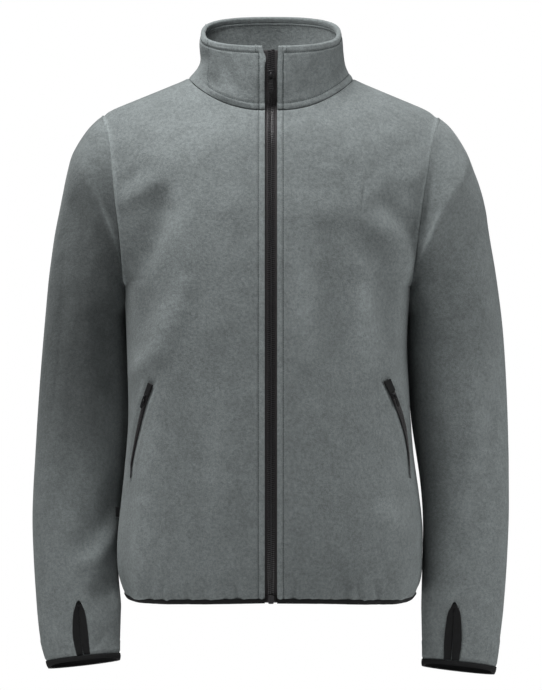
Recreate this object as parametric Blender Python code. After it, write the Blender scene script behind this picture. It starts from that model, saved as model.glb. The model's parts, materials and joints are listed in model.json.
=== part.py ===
"""A fleece jacket with a front zip, filled out as it is worn, with no wearer in it.

Metres, +Z up, the front faces -Y and the wearer's left is +X. The origin is at the middle of the neck,
level with the high points of the shoulders, where the wearer holds the jacket up.

The body is one smooth surface, torso(side, u, v). u runs from the centre (0) to the side seam or the
armhole (1). v runs up the front from the hem (0) to the shoulder line (1) and down the back (2). Each
sleeve is a surface too, sleeve(side, turn, at), which starts on the armhole and ends at the cuff. Every
piece of cloth is a wall that follows its stretch of such a surface.
"""

import functools
import math
from collections import namedtuple

import bpy
from mathutils import Vector

# ---------------------------------------------------------------- driving sizes
CLOTH = 0.0025
SEAM_GAP = 0.0003
ZIP_HALF = 0.0079
TAPE = 0.0010
TAPE_HALF = 0.0160
BINDING = 0.0046
BINDING_PROUD = 0.0009

RIGHT = -1
LEFT = 1
SIDES = {"right": RIGHT, "left": LEFT}

# ---------------------------------------------------------------- sections of the body
# y, z: the centre line. drop: how steeply the section leaves it. lead, trail: how far it keeps its
# direction at the centre and at the edge. turn, fall: its direction at the edge, in degrees.
Section = namedtuple("Section", "level v y z drop lead turn fall trail")
BODY = [
    Section("hem", 0.000, -0.121, -0.6830, 0.03, 0.60, 84, 0, 0.36),
    Section("hip", 0.090, -0.137, -0.6150, 0.00, 0.60, 84, 0, 0.36),
    Section("belly", 0.260, -0.141, -0.4900, 0.00, 0.60, 84, 0, 0.36),
    Section("waist", 0.410, -0.138, -0.3800, 0.00, 0.60, 85, 0, 0.36),
    Section("underarm", 0.540, -0.136, -0.2830, 0.00, 0.60, 82, 0, 0.35),
    Section("chest", 0.650, -0.131, -0.2050, 0.00, 0.58, 60, 2, 0.33),
    Section("upper_chest", 0.755, -0.119, -0.1300, 0.02, 0.54, 42, 6, 0.30),
    Section("collarbone", 0.865, -0.0945, -0.0570, 0.10, 0.44, 26, 13, 0.32),
    Section("shoulder", 1.000, -0.010, 0.0450, 0.41, 0.33, 0, 22, 0.33),
    Section("nape", 1.130, 0.086, -0.0140, 0.10, 0.44, -26, 13, 0.32),
    Section("upper_back", 1.245, 0.124, -0.0980, 0.02, 0.54, -42, 6, 0.30),
    Section("blades", 1.350, 0.140, -0.1850, 0.00, 0.58, -60, 2, 0.33),
    Section("back_underarm", 1.460, 0.142, -0.2830, 0.00, 0.60, -92, 0, 0.35),
    Section("back_waist", 1.590, 0.127, -0.3800, 0.00, 0.60, -92, 0, 0.36),
    Section("seat", 1.740, 0.126, -0.4900, 0.00, 0.60, -93, 0, 0.36),
    Section("back_hip", 1.910, 0.132, -0.6150, 0.00, 0.60, -94, 0, 0.36),
    Section("back_hem", 2.000, 0.118, -0.6830, 0.00, 0.60, -94, 0, 0.36),
]

# Half widths of the body at the side seams and the armholes.
Width = namedtuple("Width", "z right left")
WIDTHS = [
    Width(-0.6900, 0.1850, 0.1820),
    Width(-0.6850, 0.1890, 0.1865),
    Width(-0.6735, 0.1955, 0.1945),
    Width(-0.6550, 0.2000, 0.1978),
    Width(-0.6240, 0.2028, 0.1994),
    Width(-0.5950, 0.2015, 0.1996),
    Width(-0.5500, 0.1965, 0.1950),
    Width(-0.5095, 0.1925, 0.1893),
    Width(-0.4630, 0.1885, 0.1848),
    Width(-0.4237, 0.1880, 0.1825),
    Width(-0.3445, 0.1900, 0.1790),
    Width(-0.2785, 0.1930, 0.1835),
    Width(-0.2107, 0.1970, 0.1915),
    Width(-0.1756, 0.2015, 0.1960),
    Width(-0.1280, 0.2065, 0.2035),
    Width(-0.0766, 0.2140, 0.2140),
    Width(-0.0475, 0.2250, 0.2260),
]

V_HEM = 0.0108
V_UNDERARM = 0.540
V_SHOULDER = 1.0
SEAM_Y = -0.015
HEM_SIDE_DROP = 0.0045

ARMHOLE_LOW = -0.2785
ARMHOLE_HIGH = {RIGHT: -0.0465, LEFT: -0.0486}
ARMHOLE_FRONT = 0.067
ARMHOLE_BACK = 0.069

NECK_HALF_WIDTH = 0.108
NECK_FRONT = -0.0883
NECK_BACK = 0.072

# ---------------------------------------------------------------- sections of a sleeve
# The outer and inner outline seen from the front, the depth of the section at each, half its depth and
# how far it leans, in degrees, as the forearm comes forward. The right and left columns are what that
# sleeve adds to the outer outline, and clear is the room between it and the body beside it: where it is
# None the inner outline is at inner_x. drop is how much lower the left sleeve hangs.
Cuff = namedtuple(
    "Cuff",
    "outer_x outer_z inner_x inner_z y inner_y half_depth lean right left right_clear left_clear drop",
)
SLEEVE = [
    Cuff(0.2415, -0.0673, 0.195, -0.2830, 0.001, -0.012, 0.0730, 0, 0.0005, -0.0015, 0.0014, 0.0014, 0),
    Cuff(0.2567, -0.0937, 0.195, -0.2880, 0.002, -0.008, 0.0760, 0, 0.0020, 0.0000, 0.0014, 0.0014, 0),
    Cuff(0.2660, -0.1200, 0.195, -0.2960, 0.004, -0.003, 0.0780, 0, 0.0015, 0.0015, 0.0014, 0.0014, 0),
    Cuff(0.2772, -0.1597, 0.195, -0.3100, 0.007, 0.003, 0.0785, 0, -0.0005, 0.0035, 0.0014, 0.0014, 0),
    Cuff(0.2862, -0.2090, 0.194, -0.3310, 0.011, 0.009, 0.0785, 0, 0.0005, 0.0033, 0.0014, 0.0014, 0),
    Cuff(0.2947, -0.2653, 0.193, -0.3620, 0.015, 0.014, 0.0770, 0, -0.0003, 0.0044, 0.0014, 0.0014, 0),
    Cuff(0.3022, -0.3313, 0.193, -0.4030, 0.019, 0.019, 0.0730, 0, -0.0012, 0.0054, 0.0014, 0.0014, 0),
    Cuff(0.3080, -0.4170, 0.193, -0.4600, 0.023, 0.023, 0.0670, 1, 0.0002, 0.0052, 0.0014, 0.0032, 0),
    Cuff(0.3118, -0.4963, 0.196, -0.5170, 0.024, 0.024, 0.0610, 3, 0.0012, 0.0036, 0.0014, 0.0066, 0),
    Cuff(0.3134, -0.5755, 0.206, -0.5800, 0.019, 0.019, 0.0560, 5, 0.0030, 0.0020, 0.0014, 0.0036, 0),
    Cuff(0.3112, -0.6350, 0.205, -0.6320, 0.012, 0.012, 0.0510, 7, 0.0028, 0.0013, 0.0014, 0.0018, 0.001),
    Cuff(0.3072, -0.6940, 0.199, -0.6880, 0.003, 0.003, 0.0435, 8, 0.0026, 0.0003, None, None, 0.0025),
    Cuff(0.3024, -0.7390, 0.199, -0.7320, -0.006, -0.006, 0.0350, 9, 0.0018, -0.0010, None, None, 0.005),
    Cuff(0.2960, -0.7670, 0.199, -0.7560, -0.012, -0.012, 0.0285, 9, 0.0003, 0.0005, None, None, 0.0075),
    Cuff(0.2925, -0.7765, 0.199, -0.7655, -0.014, -0.014, 0.0270, 9, 0.0000, 0.0010, None, None, 0.0078),
]
CUFF_EDGE = 1 - 1 / len(SLEEVE)
SLEEVE_INNER = 0.0
SLEEVE_OUTER = math.pi

# ---------------------------------------------------------------- thumb slot in each sleeve
THUMB_TURN = {RIGHT: math.radians(87.5), LEFT: math.radians(76)}
THUMB_TOP = 12.0 / len(SLEEVE)
THUMB_HALF = 0.0100
THUMB_GAP_HALF = 0.0036

# ---------------------------------------------------------------- collar
# rise: share of the collar's height. side, front: how far it stands off a straight line between its
# base and its top edge.
Stand = namedtuple("Stand", "rise side front")
COLLAR = [
    Stand(0.00, 0.0000, 0.0000),
    Stand(0.14, -0.0042, -0.0006),
    Stand(0.28, -0.0056, 0.0002),
    Stand(0.46, -0.0042, 0.0016),
    Stand(0.66, -0.0016, 0.0022),
    Stand(0.83, 0.0006, 0.0016),
    Stand(0.94, 0.0004, 0.0008),
    Stand(1.00, 0.0000, 0.0000),
]
COLLAR_TOP_HALF_WIDTH = 0.0905
COLLAR_TOP_FRONT = -0.0925
COLLAR_TOP_BACK = 0.0560
COLLAR_TOP_SQUARE = 2.7
COLLAR_FRONT_Z = 0.0356
COLLAR_BACK_Z = 0.0880
COLLAR_SPREAD = {RIGHT: 0.0034, LEFT: 0.0012}
SPREAD_FROM = 0.62
INNER_LAYER = 0.0041
INNER_CLOTH = 0.0020
TOP_EDGE_LAYER = 0.0028

# ---------------------------------------------------------------- folds
# Each is a soft trough (depth above 0) or ridge (below 0) between two places seen from the front.
FRONT = -1
BACK = 1
Fold = namedtuple("Fold", "name face x0 z0 x1 z1 width depth")
BODY_FOLDS = [
    Fold("right_chest_trough", FRONT, -0.140, -0.155, -0.163, -0.250, 0.024, 0.0060),
    Fold("right_chest_ridge", FRONT, -0.185, -0.150, -0.120, -0.118, 0.012, -0.0022),
    Fold("right_drag_ridge", FRONT, -0.122, -0.175, -0.146, -0.360, 0.017, -0.0042),
    Fold("right_waist_trough", FRONT, -0.100, -0.230, -0.110, -0.420, 0.022, 0.0022),
    Fold("left_chest_trough", FRONT, 0.170, -0.140, 0.145, -0.185, 0.016, 0.0026),
    Fold("left_chest_ridge", FRONT, 0.178, -0.215, 0.118, -0.150, 0.013, -0.0026),
    Fold("left_under_trough", FRONT, 0.152, -0.255, 0.075, -0.185, 0.024, 0.0034),
    Fold("left_side_ridge", FRONT, 0.168, -0.260, 0.150, -0.390, 0.016, -0.0022),
    Fold("left_neck_crease", FRONT, 0.022, -0.066, 0.060, -0.045, 0.006, 0.0016),
    Fold("right_hip_ridge", FRONT, -0.135, -0.470, -0.120, -0.640, 0.026, -0.0024),
    Fold("left_hip_trough", FRONT, 0.120, -0.480, 0.090, -0.640, 0.026, 0.0020),
    Fold("back_right_drag", BACK, -0.165, -0.200, -0.060, -0.330, 0.026, 0.0045),
    Fold("back_left_drag", BACK, 0.170, -0.185, 0.070, -0.300, 0.024, 0.0040),
    Fold("back_waist_sag", BACK, -0.110, -0.395, 0.120, -0.415, 0.030, 0.0040),
    Fold("back_hip_ridge", BACK, 0.040, -0.450, 0.060, -0.620, 0.024, -0.0028),
]
SLEEVE_FOLDS = [
    Fold("right_cap_ridge", FRONT, -0.238, -0.095, -0.203, -0.240, 0.009, -0.0034),
    Fold("right_cap_trough", FRONT, -0.222, -0.115, -0.206, -0.200, 0.008, 0.0034),
    Fold("right_outer_trough", FRONT, -0.262, -0.150, -0.252, -0.290, 0.013, 0.0042),
    Fold("right_upper_ridge", FRONT, -0.240, -0.240, -0.252, -0.420, 0.015, -0.0024),
    Fold("right_elbow_trough", FRONT, -0.205, -0.560, -0.262, -0.640, 0.013, 0.0044),
    Fold("right_elbow_ridge", FRONT, -0.224, -0.640, -0.280, -0.600, 0.014, -0.0020),
    Fold("left_cap_ridge", FRONT, 0.256, -0.105, 0.200, -0.235, 0.009, -0.0036),
    Fold("left_cap_trough", FRONT, 0.222, -0.105, 0.207, -0.205, 0.008, 0.0042),
    Fold("left_outer_ridge", FRONT, 0.275, -0.190, 0.285, -0.370, 0.015, -0.0026),
    Fold("left_elbow_trough", FRONT, 0.300, -0.440, 0.240, -0.620, 0.015, 0.0038),
    Fold("left_elbow_ridge", FRONT, 0.262, -0.420, 0.232, -0.520, 0.016, -0.0020),
    Fold("right_back_elbow", BACK, -0.290, -0.450, -0.215, -0.500, 0.014, 0.0046),
    Fold("right_back_elbow_low", BACK, -0.295, -0.520, -0.225, -0.545, 0.013, 0.0038),
    Fold("left_back_elbow", BACK, 0.292, -0.440, 0.215, -0.485, 0.014, 0.0046),
    Fold("left_back_elbow_low", BACK, 0.296, -0.515, 0.225, -0.550, 0.013, 0.0038),
]
FOLD_FADE = 0.25
HEM_WAVES = 4
HEM_WAVE = 0.0017
HEM_WAVE_V = 0.055

# ---------------------------------------------------------------- how finely the walls are cut
NECK_COLUMNS = 6
SHOULDER_COLUMNS = 10
ROWS_TO_UNDERARM = 13
SLEEVE_ROWS = 24
SLEEVE_COLUMNS_INNER = 5
SLEEVE_COLUMNS_OUTER = 6
SLEEVE_BACK_COLUMNS = 11
THUMB_ROWS = 7

# ---------------------------------------------------------------- pocket zips on the fronts
Pocket = namedtuple("Pocket", "top_x top_z low_x low_z bow")
POCKETS = {
    RIGHT: Pocket(0.1540, -0.3990, 0.1818, -0.5070, 0.0022),
    LEFT: Pocket(0.1490, -0.3970, 0.1805, -0.5070, 0.0032),
}
POCKET_WIDTH = 0.0078
POCKET_STRIP = 0.0012
POCKET_LIFT = 0.0006
POCKET_STEPS = 11
GARAGE_LENGTH = 0.017
GARAGE_WIDTH = 0.0092
GARAGE_HEIGHT = 0.0011

# ---------------------------------------------------------------- sliders, pull tabs, zip box
Slider = namedtuple("Slider", "width length height crown_length crown_height pull_width pull_length")
MAIN_SLIDER = Slider(0.0092, 0.0120, 0.0030, 0.0078, 0.0036, 0.0066, 0.0240)
POCKET_SLIDER = Slider(0.0056, 0.0080, 0.0020, 0.0060, 0.0030, 0.0042, 0.0160)
CROWN_WALL = 0.0010
CROWN_WIDTH = 0.0014
PULL_THICK = 0.0010
PULL_SIDE_ROOM = 0.0004
MAIN_SLIDER_Z = -0.0020
BOX_SIZE = (0.0072, 0.0036, 0.0110)
BOX_BOTTOM = -0.6835
TAPE_WIDENS_Z = -0.6735

# ---------------------------------------------------------------- blank tab in the right side seam
TAB_Z = -0.571
TAB_LENGTH = 0.0130
TAB_REACH = 0.0050
TAB_THICK = 0.0012

FLEECE = ("fleece", (0.135, 0.155, 0.155), 0.95, 0.0)
STRETCH = ("stretch_binding", (0.016, 0.016, 0.017), 0.80, 0.0)
ZIP_TAPE = ("zip_tape", (0.018, 0.016, 0.017), 0.75, 0.0)
ZIP_METAL = ("zip_metal", (0.025, 0.025, 0.027), 0.40, 0.6)
PULL_RUBBER = ("pull_tab", (0.020, 0.020, 0.021), 0.55, 0.0)


# ---------------------------------------------------------------- curves and tables
def curve_through(knots, values, at):
    """The smooth curve through values at knots, read at one place. It goes on straight past its ends."""
    last = len(knots) - 1
    step = 0
    while step < last - 1 and at > knots[step + 1]:
        step += 1

    def slope(i):
        low, high = max(i - 1, 0), min(i + 1, last)
        return (values[high] - values[low]) / (knots[high] - knots[low])

    span = knots[step + 1] - knots[step]
    t = (at - knots[step]) / span
    if t < 0:
        return values[step] + slope(step) * (at - knots[step])
    if t > 1:
        return values[step + 1] + slope(step + 1) * (at - knots[step + 1])
    rest = 1 - t
    return (
        values[step] * (1 + 2 * t) * rest * rest
        + values[step + 1] * t * t * (3 - 2 * t)
        + slope(step) * (span * t * rest * rest)
        - slope(step + 1) * (span * t * t * rest)
    )


def column(table, key, name, at):
    return curve_through([getattr(row, key) for row in table], [getattr(row, name) for row in table], at)


def smooth_step(low, high, value):
    t = min(max((value - low) / (high - low), 0.0), 1.0)
    return t * t * (3 - 2 * t)


def solve(function, low, high, steps=26):
    """Where function, below 0 at low and above 0 at high, crosses 0."""
    for _ in range(steps):
        middle = (low + high) / 2
        if function(middle) < 0:
            low = middle
        else:
            high = middle
    return (low + high) / 2


def evenly(low, high, steps):
    return [low + (high - low) * i / steps for i in range(steps + 1)]


# ---------------------------------------------------------------- the body's surface
@functools.lru_cache(maxsize=None)
def side_width(side, z):
    return column(WIDTHS, "z", "right" if side == RIGHT else "left", z)


@functools.lru_cache(maxsize=None)
def section(v):
    return Section("between", v, *(column(BODY, "v", name, v) for name in Section._fields[2:]))


def armhole(side, turn):
    """The armhole seam: turn 0 at the underarm, half of pi at the front, pi at the shoulder."""
    high = ARMHOLE_HIGH[side]
    z = (ARMHOLE_LOW + high) / 2 - (high - ARMHOLE_LOW) / 2 * math.cos(turn)
    reach = ARMHOLE_FRONT if math.sin(turn) > 0 else ARMHOLE_BACK
    low_y = SEAM_Y * (1 + math.cos(turn)) / 2
    return Vector((side_width(side, z), low_y - reach * math.sin(turn), z))


@functools.lru_cache(maxsize=None)
def edge(side, v):
    """The outer end of a section: on the side seam, or on the armhole above the underarm."""
    if V_UNDERARM < v < 2 - V_UNDERARM:
        return armhole(side, math.pi * (v - V_UNDERARM) / (V_SHOULDER - V_UNDERARM))
    z = section(v).z
    share = smooth_step(section(V_UNDERARM).z - 0.05, section(V_UNDERARM).z, z)
    z += (ARMHOLE_LOW - section(V_UNDERARM).z) * share
    z -= HEM_SIDE_DROP * smooth_step(0.09, 0.0, min(v, 2 - v))
    return Vector((side_width(side, z), SEAM_Y, z))


def torso_smooth(side, u, v):
    """The body without its folds: a curve from the centre line to the edge, one for each v."""
    row = section(v)
    start_x = ZIP_HALF * (1 - smooth_step(0.93, 1.0, v)) if v < V_SHOULDER else 0.0
    start = Vector((start_x, row.y, row.z))
    end = edge(side, v)
    turn, fall = math.radians(row.turn), math.radians(row.fall)
    heading = Vector((math.cos(turn) * math.cos(fall), math.sin(turn), -math.sin(fall)))
    lead = start + Vector((1, 0, -row.drop)) * (row.lead * end.x)
    trail = end - heading * (row.trail * (end - start).length)
    rest = 1 - u
    point = start * rest**3 + lead * (3 * u * rest * rest) + trail * (3 * u * u * rest) + end * u**3
    return Vector((point.x * side, point.y, point.z))


def normal_of(surface, a, b, step_a=1e-3, step_b=1e-3):
    """The unit normal of a surface of two parameters."""
    along_a = surface(a + step_a, b) - surface(a - step_a, b)
    along_b = surface(a, b + step_b) - surface(a, b - step_b)
    return along_a.cross(along_b).normalized()


def torso_normal(side, u, v):
    inner, outer = max(u - 1e-3, 0.0), min(u + 1e-3, 1.0)
    along_u = torso_smooth(side, outer, v) - torso_smooth(side, inner, v)
    along_v = torso_smooth(side, u, v + 1e-3) - torso_smooth(side, u, v - 1e-3)
    return along_u.cross(along_v).normalized() * side


def fold_depth(folds, point, normal):
    """How far the folds push a point in, seen from the front or the back."""
    depth = 0.0
    for fold in folds:
        facing = max(normal.y * fold.face, 0.0)
        start, along = Vector((fold.x0, fold.z0)), Vector((fold.x1 - fold.x0, fold.z1 - fold.z0))
        place = Vector((point.x, point.z)) - start
        share = place.dot(along) / along.length_squared
        away = (place - along * min(max(share, 0.0), 1.0)).length / fold.width
        if away < 3 and facing > 0:
            ends = smooth_step(-FOLD_FADE, FOLD_FADE, share) * smooth_step(-FOLD_FADE, FOLD_FADE, 1 - share)
            depth += fold.depth * math.exp(-away * away) * ends * min(facing * 1.6, 1.0)
    return depth


def hem_wave(side, u, v):
    """The cloth drawn up a little by the stretch binding at the hem."""
    height = min(v, 2 - v) / HEM_WAVE_V
    still = smooth_step(0.03, 0.15, u) * smooth_step(1.0, 0.88, u)
    uneven = 1 + 0.35 * math.sin(9.1 * u + 2.3 * side + v)
    return HEM_WAVE * uneven * still * math.exp(-height * height) * math.sin(2 * math.pi * HEM_WAVES * u + side)


def torso(side, u, v):
    """A point of the body's outer face."""
    point, normal = torso_smooth(side, u, v), torso_normal(side, u, v)
    up = v if v < V_SHOULDER else 2 - v
    still = smooth_step(1.0, 0.90, u) * smooth_step(V_SHOULDER, 0.90, up)
    still *= smooth_step(0.0, 0.10, u) if v < V_SHOULDER else 1.0
    depth = fold_depth(BODY_FOLDS, point, normal) * still
    return point - normal * (depth + hem_wave(side, u, v)), normal


def neck_distance(point):
    """Below 0 outside the neck hole, above 0 inside it."""
    middle, half = (NECK_BACK + NECK_FRONT) / 2, (NECK_BACK - NECK_FRONT) / 2
    return 1 - (point.x / NECK_HALF_WIDTH) ** 2 - ((point.y - middle) / half) ** 2


@functools.lru_cache(maxsize=None)
def neck_u(side):
    """Where the neck hole meets the shoulder line."""
    return solve(lambda u: -neck_distance(torso_smooth(side, u, V_SHOULDER)), 0.15, 0.75)


@functools.lru_cache(maxsize=None)
def neck_v(side, u, face):
    """Where the column u runs into the neck hole, or the shoulder line beyond it."""
    if u >= neck_u(side):
        return V_SHOULDER
    if face == FRONT:
        return solve(lambda v: neck_distance(torso_smooth(side, u, v)), 0.70, V_SHOULDER)
    return solve(lambda v: -neck_distance(torso_smooth(side, u, v)), V_SHOULDER, 1.30)


@functools.lru_cache(maxsize=None)
def neck_columns(side, face):
    """Columns whose tops are evenly spread round their quarter of the neck."""
    middle = (NECK_BACK + NECK_FRONT) / 2
    end = neck_u(side)

    def angle(u):
        point = torso_smooth(side, u, neck_v(side, u, face))
        return math.atan2(abs(point.x), face * (point.y - middle))

    first, last = angle(0.0), angle(end)
    inner = [
        solve(lambda u, a=a: angle(u) - a, 0.0, end - 1e-6)
        for a in evenly(first, last, NECK_COLUMNS)[1:-1]
    ]
    return [0.0, *inner, end]


@functools.lru_cache(maxsize=None)
def placket_u(side, v):
    """The column of the stitching beside the zip, where the zip tape ends."""
    return solve(lambda u: abs(torso_smooth(side, u, v).x) - TAPE_HALF, 0.0, 0.2)


def neck_placket_u(side):
    """The column of that stitching where it reaches the neck."""
    return placket_u(side, neck_v(side, 0.0, FRONT))


def body_columns(side, face):
    """Columns of a front or of half the back. The column None follows the stitching beside the zip."""
    last = 1 - SEAM_GAP / 2 / 0.28
    columns = neck_columns(side, face) + evenly(neck_u(side), last, SHOULDER_COLUMNS)[1:]
    return columns[:1] + [None] + columns[1:] if face == FRONT else columns


def sleeve_turns(side, face):
    """The lengthwise lines of half a sleeve, at the armhole. The front has one where the slot is."""
    if face == BACK:
        return evenly(SLEEVE_OUTER, 2 * math.pi, SLEEVE_BACK_COLUMNS)
    inner = evenly(SLEEVE_INNER, THUMB_TURN[side], SLEEVE_COLUMNS_INNER)
    return inner + evenly(THUMB_TURN[side], SLEEVE_OUTER, SLEEVE_COLUMNS_OUTER)[1:]


def body_rows(side, face):
    """Heights up a front or a back: those at the armhole meet the lines of the sleeve."""
    lower = [V_HEM + (V_UNDERARM - V_HEM) * (i / ROWS_TO_UNDERARM) ** 1.15 for i in range(ROWS_TO_UNDERARM)]
    turns = sleeve_turns(side, face)
    if face == BACK:
        turns = [2 * math.pi - turn for turn in turns[::-1]]
    return lower + [V_UNDERARM + (V_SHOULDER - V_UNDERARM) * turn / math.pi for turn in turns]


def body_grid(side, face):
    """Rows of (point, normal) of a front, or of half the back."""
    trim = SEAM_GAP / 2 / 0.76
    rows = []
    for share in body_rows(side, face):
        row = []
        for u in body_columns(side, face):
            top = neck_v(side, neck_placket_u(side) if u is None else u, face)
            if face == FRONT:
                v = V_HEM + (top - trim - V_HEM) * (share - V_HEM) / (V_SHOULDER - V_HEM)
            else:
                v = 2 - V_HEM + (top + trim - 2 + V_HEM) * (share - V_HEM) / (V_SHOULDER - V_HEM)
            row.append(torso(side, placket_u(side, v) if u is None else u, v))
        rows.append(row)
    return rows


# ---------------------------------------------------------------- a sleeve's surface
@functools.lru_cache(maxsize=None)
def sleeve_rings(side, turn):
    """One point of each section of a sleeve: turn 0 is the underarm seam, half of pi the front."""
    points = [armhole(side, turn)]
    for row in SLEEVE:
        more, clear, drop = (
            (row.right, row.right_clear, 0) if side == RIGHT else (row.left, row.left_clear, row.drop)
        )
        inner_x = row.inner_x if clear is None else side_width(side, row.inner_z) + clear
        outer = Vector((row.outer_x + more, row.y, row.outer_z - drop))
        inner = Vector((inner_x, row.inner_y, row.inner_z - drop))
        lean = math.radians(row.lean)
        forward = Vector((0, -math.cos(lean), math.sin(lean))) * row.half_depth
        middle, half = (outer + inner) / 2, (outer - inner) / 2
        points.append(middle - half * math.cos(turn) + forward * math.sin(turn))
    return points


def sleeve_smooth(side, turn, at):
    points = sleeve_rings(side, turn)
    knots = [i / (len(points) - 1) for i in range(len(points))]
    point = curve_through(knots, points, at)
    return Vector((point.x * side, point.y, point.z))


def sleeve_normal(side, turn, at):
    normal = normal_of(lambda a, b: sleeve_smooth(side, a, b), turn, at)
    middle = (sleeve_smooth(side, SLEEVE_INNER, at) + sleeve_smooth(side, SLEEVE_OUTER, at)) / 2
    if normal.dot(sleeve_smooth(side, turn, at) - middle) < 0:
        normal = -normal
    if at < 1 / len(SLEEVE):
        v = V_UNDERARM + (V_SHOULDER - V_UNDERARM) * turn / math.pi
        body = torso_normal(side, 1.0, v)
        share = smooth_step(-0.1, 0.5, normal.dot(body)) * (1 - at * len(SLEEVE))
        normal = normal.lerp(body, share).normalized()
    return normal


def sleeve(side, turn, at):
    """A point of a sleeve's outer face."""
    point, normal = sleeve_smooth(side, turn, at), sleeve_normal(side, turn, at)
    still = smooth_step(0.0, 0.06, at) * smooth_step(CUFF_EDGE, THUMB_TOP, at)
    depth = fold_depth(SLEEVE_FOLDS, point, normal) * still
    return point - normal * depth, normal


def sleeve_half_girth(side, at):
    """How many metres one radian of turn is at the front of the sleeve."""
    step, turn = 0.05, THUMB_TURN[side]
    ahead = sleeve_smooth(side, turn + step, at) - sleeve_smooth(side, turn - step, at)
    return ahead.length / (2 * step)


def thumb_half_width(at):
    """Half the width of the thumb slot: a pointed arch that widens and then narrows to the cuff."""
    share = min(max((at - THUMB_TOP) / (CUFF_EDGE - THUMB_TOP), 0.0), 1.0)
    arch = math.sqrt(max(1 - (1 - min(share / 0.55, 1.0)) ** 2, 0.0))
    return THUMB_HALF * arch * (1 - 0.12 * smooth_step(0.55, 1.0, share))


def sleeve_rows():
    first = SEAM_GAP / 0.03 / len(SLEEVE)
    upper = evenly(first, THUMB_TOP, SLEEVE_ROWS - THUMB_ROWS)
    return upper + evenly(THUMB_TOP, CUFF_EDGE, THUMB_ROWS)[1:]


def sleeve_front_grid(side):
    """Rows of (point, normal) of the front half, where two columns part at the slot."""
    rows = []
    trim = SEAM_GAP / 2 / 0.055
    for at in sleeve_rows():
        half = thumb_half_width(at) / sleeve_half_girth(side, at)
        turns = evenly(SLEEVE_INNER + trim, THUMB_TURN[side] - half, SLEEVE_COLUMNS_INNER)
        turns += evenly(THUMB_TURN[side] + half, SLEEVE_OUTER - trim, SLEEVE_COLUMNS_OUTER)
        rows.append([sleeve(side, turn, at) for turn in turns])
    return rows


def sleeve_back_grid(side):
    trim = SEAM_GAP / 2 / 0.055
    turns = evenly(SLEEVE_OUTER + trim, 2 * math.pi - trim, SLEEVE_BACK_COLUMNS)
    return [[sleeve(side, turn, at) for turn in turns] for at in sleeve_rows()]


# ---------------------------------------------------------------- the collar's surface
def collar_base(side, face):
    """Points of the neck seam, from the centre to the shoulder line."""
    columns = neck_columns(side, face)
    if face == FRONT:
        columns = columns[:1] + [neck_placket_u(side)] + columns[1:]
    return [torso_smooth(side, u, neck_v(side, u, face)) for u in columns]


def collar_top(point):
    """The place on the collar's top edge above a point of the neck seam."""
    middle = (NECK_BACK + NECK_FRONT) / 2
    angle = math.atan2(point.x / NECK_HALF_WIDTH, (middle - point.y) / ((NECK_BACK - NECK_FRONT) / 2))
    power = 2 / COLLAR_TOP_SQUARE
    x = COLLAR_TOP_HALF_WIDTH * math.copysign(abs(math.sin(angle)) ** power, math.sin(angle))
    top_middle = (COLLAR_TOP_BACK + COLLAR_TOP_FRONT) / 2
    half = (COLLAR_TOP_BACK - COLLAR_TOP_FRONT) / 2
    y = top_middle - half * math.copysign(abs(math.cos(angle)) ** power, math.cos(angle))
    share = (y - COLLAR_TOP_FRONT) / (COLLAR_TOP_BACK - COLLAR_TOP_FRONT)
    return Vector((x, y, COLLAR_FRONT_Z + (COLLAR_BACK_Z - COLLAR_FRONT_Z) * share))


def collar_grid():
    """Rows of (point, normal) from the neck seam up, round from the right front to the left front."""
    base = collar_base(RIGHT, FRONT) + collar_base(RIGHT, BACK)[::-1][1:]
    base += collar_base(LEFT, BACK)[1:] + collar_base(LEFT, FRONT)[::-1][1:]
    count = len(base)
    middle = Vector((0, (COLLAR_TOP_BACK + COLLAR_TOP_FRONT) / 2, 0))
    tops = [collar_top(point) for point in base]
    tops[0].x, tops[-1].x = -ZIP_HALF, ZIP_HALF
    points = []
    for row in COLLAR:
        line = []
        for start, top in zip(base, tops):
            out = Vector((start.x, start.y, 0)) - middle
            out.normalize()
            stand = row.front + (row.side - row.front) * abs(out.x) ** 1.5
            line.append(start.lerp(top, row.rise) + out * stand)
        spread = smooth_step(SPREAD_FROM, 1.0, row.rise)
        for place, side in ((0, RIGHT), (count - 1, LEFT)):
            line[place].x = side * (ZIP_HALF + COLLAR_SPREAD[side] * spread)
        points.append(line)
    rows = []
    for j, line in enumerate(points):
        row = []
        for i, point in enumerate(line):
            across = line[min(i + 1, count - 1)] - line[max(i - 1, 0)]
            up = points[min(j + 1, len(points) - 1)][i] - points[max(j - 1, 0)][i]
            row.append((point, up.cross(across).normalized()))
        rows.append(row)
    gap = Vector((0, 0, SEAM_GAP))
    rows[0] = [(point + gap, normal) for point, normal in rows[0]]
    return rows


# ---------------------------------------------------------------- making objects
def material(finish):
    name, colour, roughness, metallic = finish
    found = bpy.data.materials.get(name)
    if found:
        return found
    made = bpy.data.materials.new(name)
    made.use_nodes = True
    shader = made.node_tree.nodes["Principled BSDF"]
    shader.inputs["Base Color"].default_value = (*colour, 1.0)
    shader.inputs["Roughness"].default_value = roughness
    shader.inputs["Metallic"].default_value = metallic
    return made


def add_object(name, vertices, faces, finish):
    mesh = bpy.data.meshes.new(name)
    mesh.from_pydata([tuple(v) for v in vertices], [], faces)
    mesh.materials.append(material(finish))
    made = bpy.data.objects.new(name, mesh)
    bpy.context.scene.collection.objects.link(made)
    mesh.shade_smooth()
    mesh.set_sharp_from_angle(angle=math.radians(50))
    return made


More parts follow.
